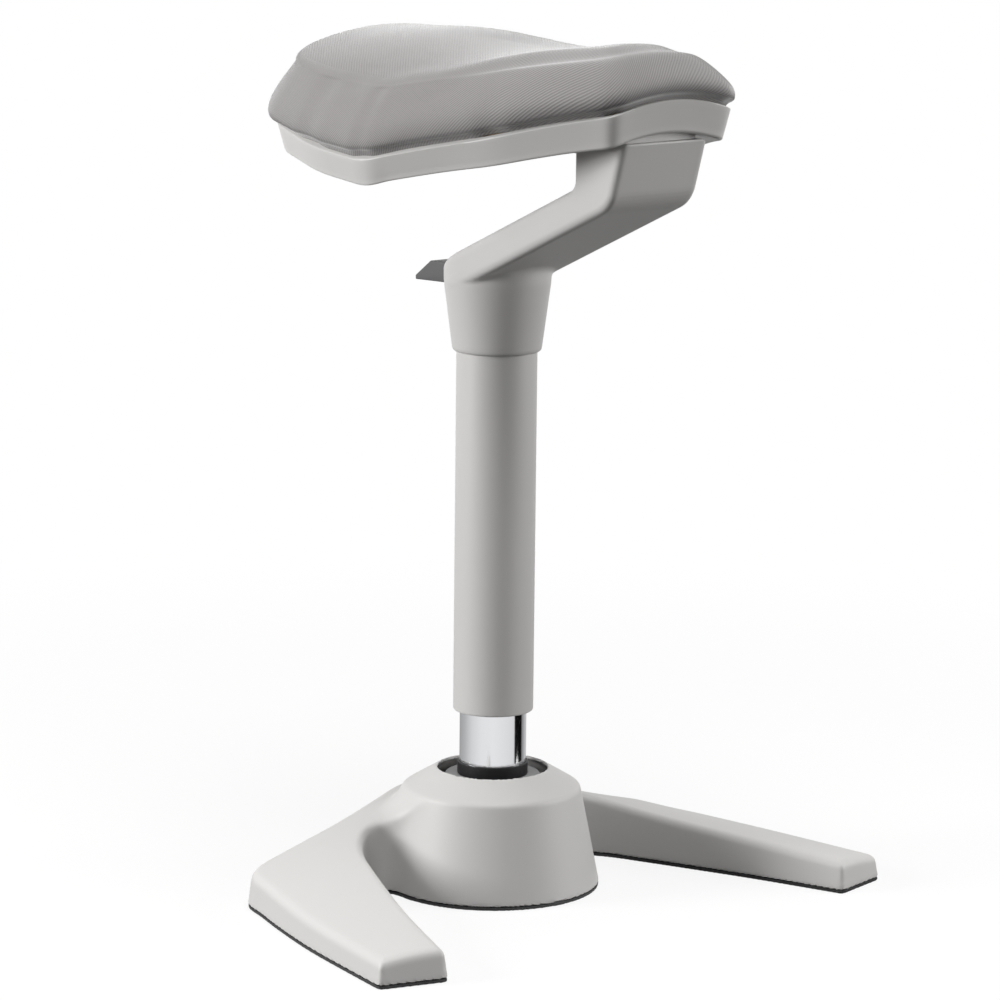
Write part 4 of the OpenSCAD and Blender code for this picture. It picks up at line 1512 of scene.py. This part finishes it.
class Hidden(Enum):
    """Finishes of the CAD nodes that keep their own shape."""

    STEEL = (STEEL, ("base_plate", "plate_screws", "bearing_race", "race_bolts", "column_ball",
                     "lower_washer", "thrust_balls", "upper_washer", "piston_rod", "piston",
                     "rod_clip", "release_pin", "lever_pin", "arm_screws", "tee_nuts",
                     "board_screws"))
    RUBBER = (BLACK_RUBBER, ("rubber_ring", "buffer"))
    PLASTIC = (BLACK_PLASTIC, ("guide_bush", "rod_guide", "slide_bush"))
    CYLINDER = (CYLINDER, ("gas_cylinder",))
    CAGE = (CAGE, ("ball_cage",))
    BOARD = (Plywood(), ("seat_board",))


def dress_hidden() -> int:
    """Gives each kept CAD node its finish.

    Returns:
        How many nodes were dressed.
    """
    done = 0
    for kind in Hidden:
        finish, nodes = kind.value
        for node in nodes:
            dress(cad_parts[node], finish)
            done += 1
    return done


# Studio


@dataclass
class Studio:
    """Floor, white surround, lamps and the camera at the photograph's angle."""

    azimuth: float = -39.27
    elevation: float = 10.57
    roll: float = 0.62
    place: tuple = (-2.078, -2.547, 0.907)
    lens: float = 162.0
    floor_white: float = 0.82
    floor_dim: float = 0.05
    floor_half: float = 6.0
    floor_fade: tuple = (0.45, 1.3)
    surround: float = 0.12
    aim_z: float = 0.35
    lamps: tuple = (
        ("key", -2.7, 0.7, 0.65, 1.2, 76.0),
        ("rim", 2.8, 0.05, 0.7, 1.4, 45.0),
        ("above", 0.15, 0.75, 2.4, 1.5, 50.0),
    )
    # Painted reflection: a glowing ring on the floor (inner radius, outer radius, lift) that only
    # glossy rays see, and its glow by bearing in degrees, pale with one dark stripe that the
    # chrome shows.
    ring: tuple = (0.12, 1.6, 0.0006)
    ring_steps: int = 180
    glow: tuple = (
        (-180, 0.45), (-150, 0.38), (-110, 0.50), (-75, 0.72), (-40, 0.85), (0, 0.88), (40, 0.82),
        (70, 0.76), (79, 0.70), (80, 0.003), (116, 0.003), (117, 0.22), (150, 0.60), (180, 0.45),
    )

    def camera(self) -> None:
        """Makes the camera. Its axes are the view's right, up and back vectors, rolled."""
        a, e, roll = (math.radians(v) for v in (self.azimuth, self.elevation, self.roll))
        right = Vector((math.cos(a), math.sin(a), 0))
        ahead = Vector((-math.sin(a) * math.cos(e), math.cos(a) * math.cos(e), -math.sin(e)))
        up = right.cross(ahead)
        across = right * math.cos(roll) + up * math.sin(roll)
        above = up * math.cos(roll) - right * math.sin(roll)
        data = bpy.data.cameras.new("photo_camera")
        data.lens, data.sensor_width = self.lens, 36.0
        data.clip_start, data.clip_end = 0.1, 50.0
        camera = bpy.data.objects.new("photo_camera", data)
        camera.matrix_world = Matrix.Translation(self.place) @ Matrix(
            (across, above, -ahead)
        ).transposed().to_4x4()
        bpy.context.scene.collection.objects.link(camera)
        bpy.context.scene.camera = camera

    def seen_white(self, tree: Tree) -> Shade:
        """Share of white: 1 for rays from the camera and for those that metal or glass sends."""
        rays = tree.node("ShaderNodeLightPath", {}, {}, "Is Camera Ray")
        total = rays + rays.other("Is Glossy Ray") + rays.other("Is Transmission Ray")
        return tree.maths("MINIMUM", total, 1.0)

    def world(self) -> None:
        """Sets the surround: white where it is seen, a soft level of light elsewhere."""
        world = bpy.data.worlds.new("surround")
        tree = Tree(world)
        strength = self.seen_white(tree) * (1.0 - self.surround) + self.surround
        light = tree.node(
            "ShaderNodeBackground", {}, {"Color": (1.0, 1.0, 1.0, 1.0), "Strength": strength}
        )
        tree.node("ShaderNodeOutputWorld", {}, {"Surface": light})
        bpy.context.scene.world = world

    def floor(self) -> None:
        """Makes the pale floor."""
        corners = np.array([[-1, -1, 0], [1, -1, 0], [1, 1, 0], [-1, 1, 0]])
        square = corners * self.floor_half
        floor = put_mesh("studio_floor", square, np.array([[0, 1, 2, 3]]))
        made = bpy.data.materials.new("studio_floor")
        tree = Tree(made)
        seen = self.seen_white(tree)
        shade = tree.tint((self.floor_dim,) * 3, (0.95, 0.95, 0.95), seen)
        lit = tree.node(
            "ShaderNodeBsdfPrincipled",
            {},
            {"Base Color": shade, "Roughness": 0.9, "Specular IOR Level": 0.1},
        )
        glow = tree.node("ShaderNodeEmission", {}, {"Strength": 1.0})
        away = tree.node(
            "ShaderNodeVectorMath", {"operation": "LENGTH"}, {0: tree.place()}, "Value"
        )
        far = tree.node(
            "ShaderNodeMapRange",
            {"interpolation_type": "SMOOTHSTEP"},
            {
                "Value": away,
                "From Min": self.floor_fade[0],
                "From Max": self.floor_fade[1],
                "To Min": self.floor_white,
                "To Max": 1.0,
            },
        )
        mixed = tree.node("ShaderNodeMixShader", {}, {0: seen * far, 1: lit, 2: glow})
        tree.node("ShaderNodeOutputMaterial", {}, {"Surface": mixed})
        floor.data.materials.append(made)

    def lamp(self, name: str, place: tuple, aim: tuple, size: float, power: float) -> None:
        """Adds a soft square lamp.

        Args:
            name: The lamp's name.
            place: Where it stands.
            aim: The point it faces.
            size: Its side.
            power: Its power.
        """
        data = bpy.data.lights.new(name, "AREA")
        data.size, data.energy = size, power
        lamp = bpy.data.objects.new(name, data)
        away = Vector(place) - Vector(aim)
        lamp.rotation_mode = "QUATERNION"
        lamp.rotation_quaternion = away.to_track_quat("Z", "Y")
        lamp.location = place
        bpy.context.scene.collection.objects.link(lamp)

    def reflected(self) -> None:
        """Lays a ring on the floor that only reflections show: a painted reflection, glowing
        though it is no lamp, pale with one dark stripe.

        Its glow follows the bearing from the camera's direction, which is the angle of the
        point's two coordinates along and across that direction.
        """
        near, far, lift = self.ring
        turn = np.arange(self.ring_steps) * TURN / self.ring_steps
        out = np.stack([np.cos(turn), np.sin(turn), np.zeros(self.ring_steps)], -1)
        rings = np.concatenate([out * near, out * far]) + [0, 0, lift]
        card = put_mesh("reflected_ring", rings, ring_faces(2, self.ring_steps))
        made = bpy.data.materials.new("reflected_ring")
        tree = Tree(made)
        place = tree.node("ShaderNodeSeparateXYZ", {}, {"Vector": tree.place()}, "X")
        other = place.other("Y")
        zero = math.radians(self.azimuth - 90)
        along = place * math.cos(zero) + other * math.sin(zero)
        across = other * math.cos(zero) - place * math.sin(zero)
        bearing = tree.maths("ARCTAN2", across, along)
        stops = [((angle + 180) / 360, (shade,) * 3) for angle, shade in self.glow]
        # Painted reflection: the ring's glow by bearing, pale with one dark stripe, seen only in
        # glossy rays.
        glow = tree.node(
            "ShaderNodeValToRGB", {"stops": stops}, {"Fac": bearing * (1 / TURN) + 0.5}, "Color"
        )
        lit = tree.node(
            "ShaderNodeBsdfPrincipled",
            {},
            {"Base Color": (0.0, 0.0, 0.0, 1.0), "Specular IOR Level": 0.0, "Roughness": 1.0,
             "Emission Color": glow, "Emission Strength": 1.0},
        )
        only = tree.node("ShaderNodeLightPath", {}, {}, "Is Glossy Ray")
        clear = tree.node("ShaderNodeBsdfTransparent", {}, {})
        mixed = tree.node("ShaderNodeMixShader", {}, {0: only, 1: clear, 2: lit})
        tree.node("ShaderNodeOutputMaterial", {}, {"Surface": mixed})
        card.data.materials.append(made)

    def build(self) -> None:
        """Sets up the whole studio."""
        self.camera()
        self.world()
        self.floor()
        self.reflected()
        scene = bpy.context.scene
        scene.view_settings.view_transform = "Standard"
        a = math.radians(self.azimuth)
        right = np.array([math.cos(a), math.sin(a), 0.0])
        toward = np.array([math.sin(a), -math.cos(a), 0.0])
        up = np.array([0.0, 0.0, 1.0])
        aim = up * self.aim_z
        for name, side, near, high, size, power in self.lamps:
            self.lamp(name, aim + right * side + toward * near + up * high, aim, size, power)


# All


def main() -> None:
    """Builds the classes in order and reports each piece."""
    logging.basicConfig(level=logging.INFO, format="%(message)s")
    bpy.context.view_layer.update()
    Studio().build()
    seat = SeatShape()
    parts = (BaseShape(), Column(), Arm(), Lever(), SeatPan(seat), Cushion(seat))
    for part in parts:
        for piece in part.build():
            log.info("%s: %d faces", piece.name, len(piece.data.polygons))
    log.info("kept CAD nodes dressed: %d", dress_hidden())


if __name__ == "__main__":
    main()
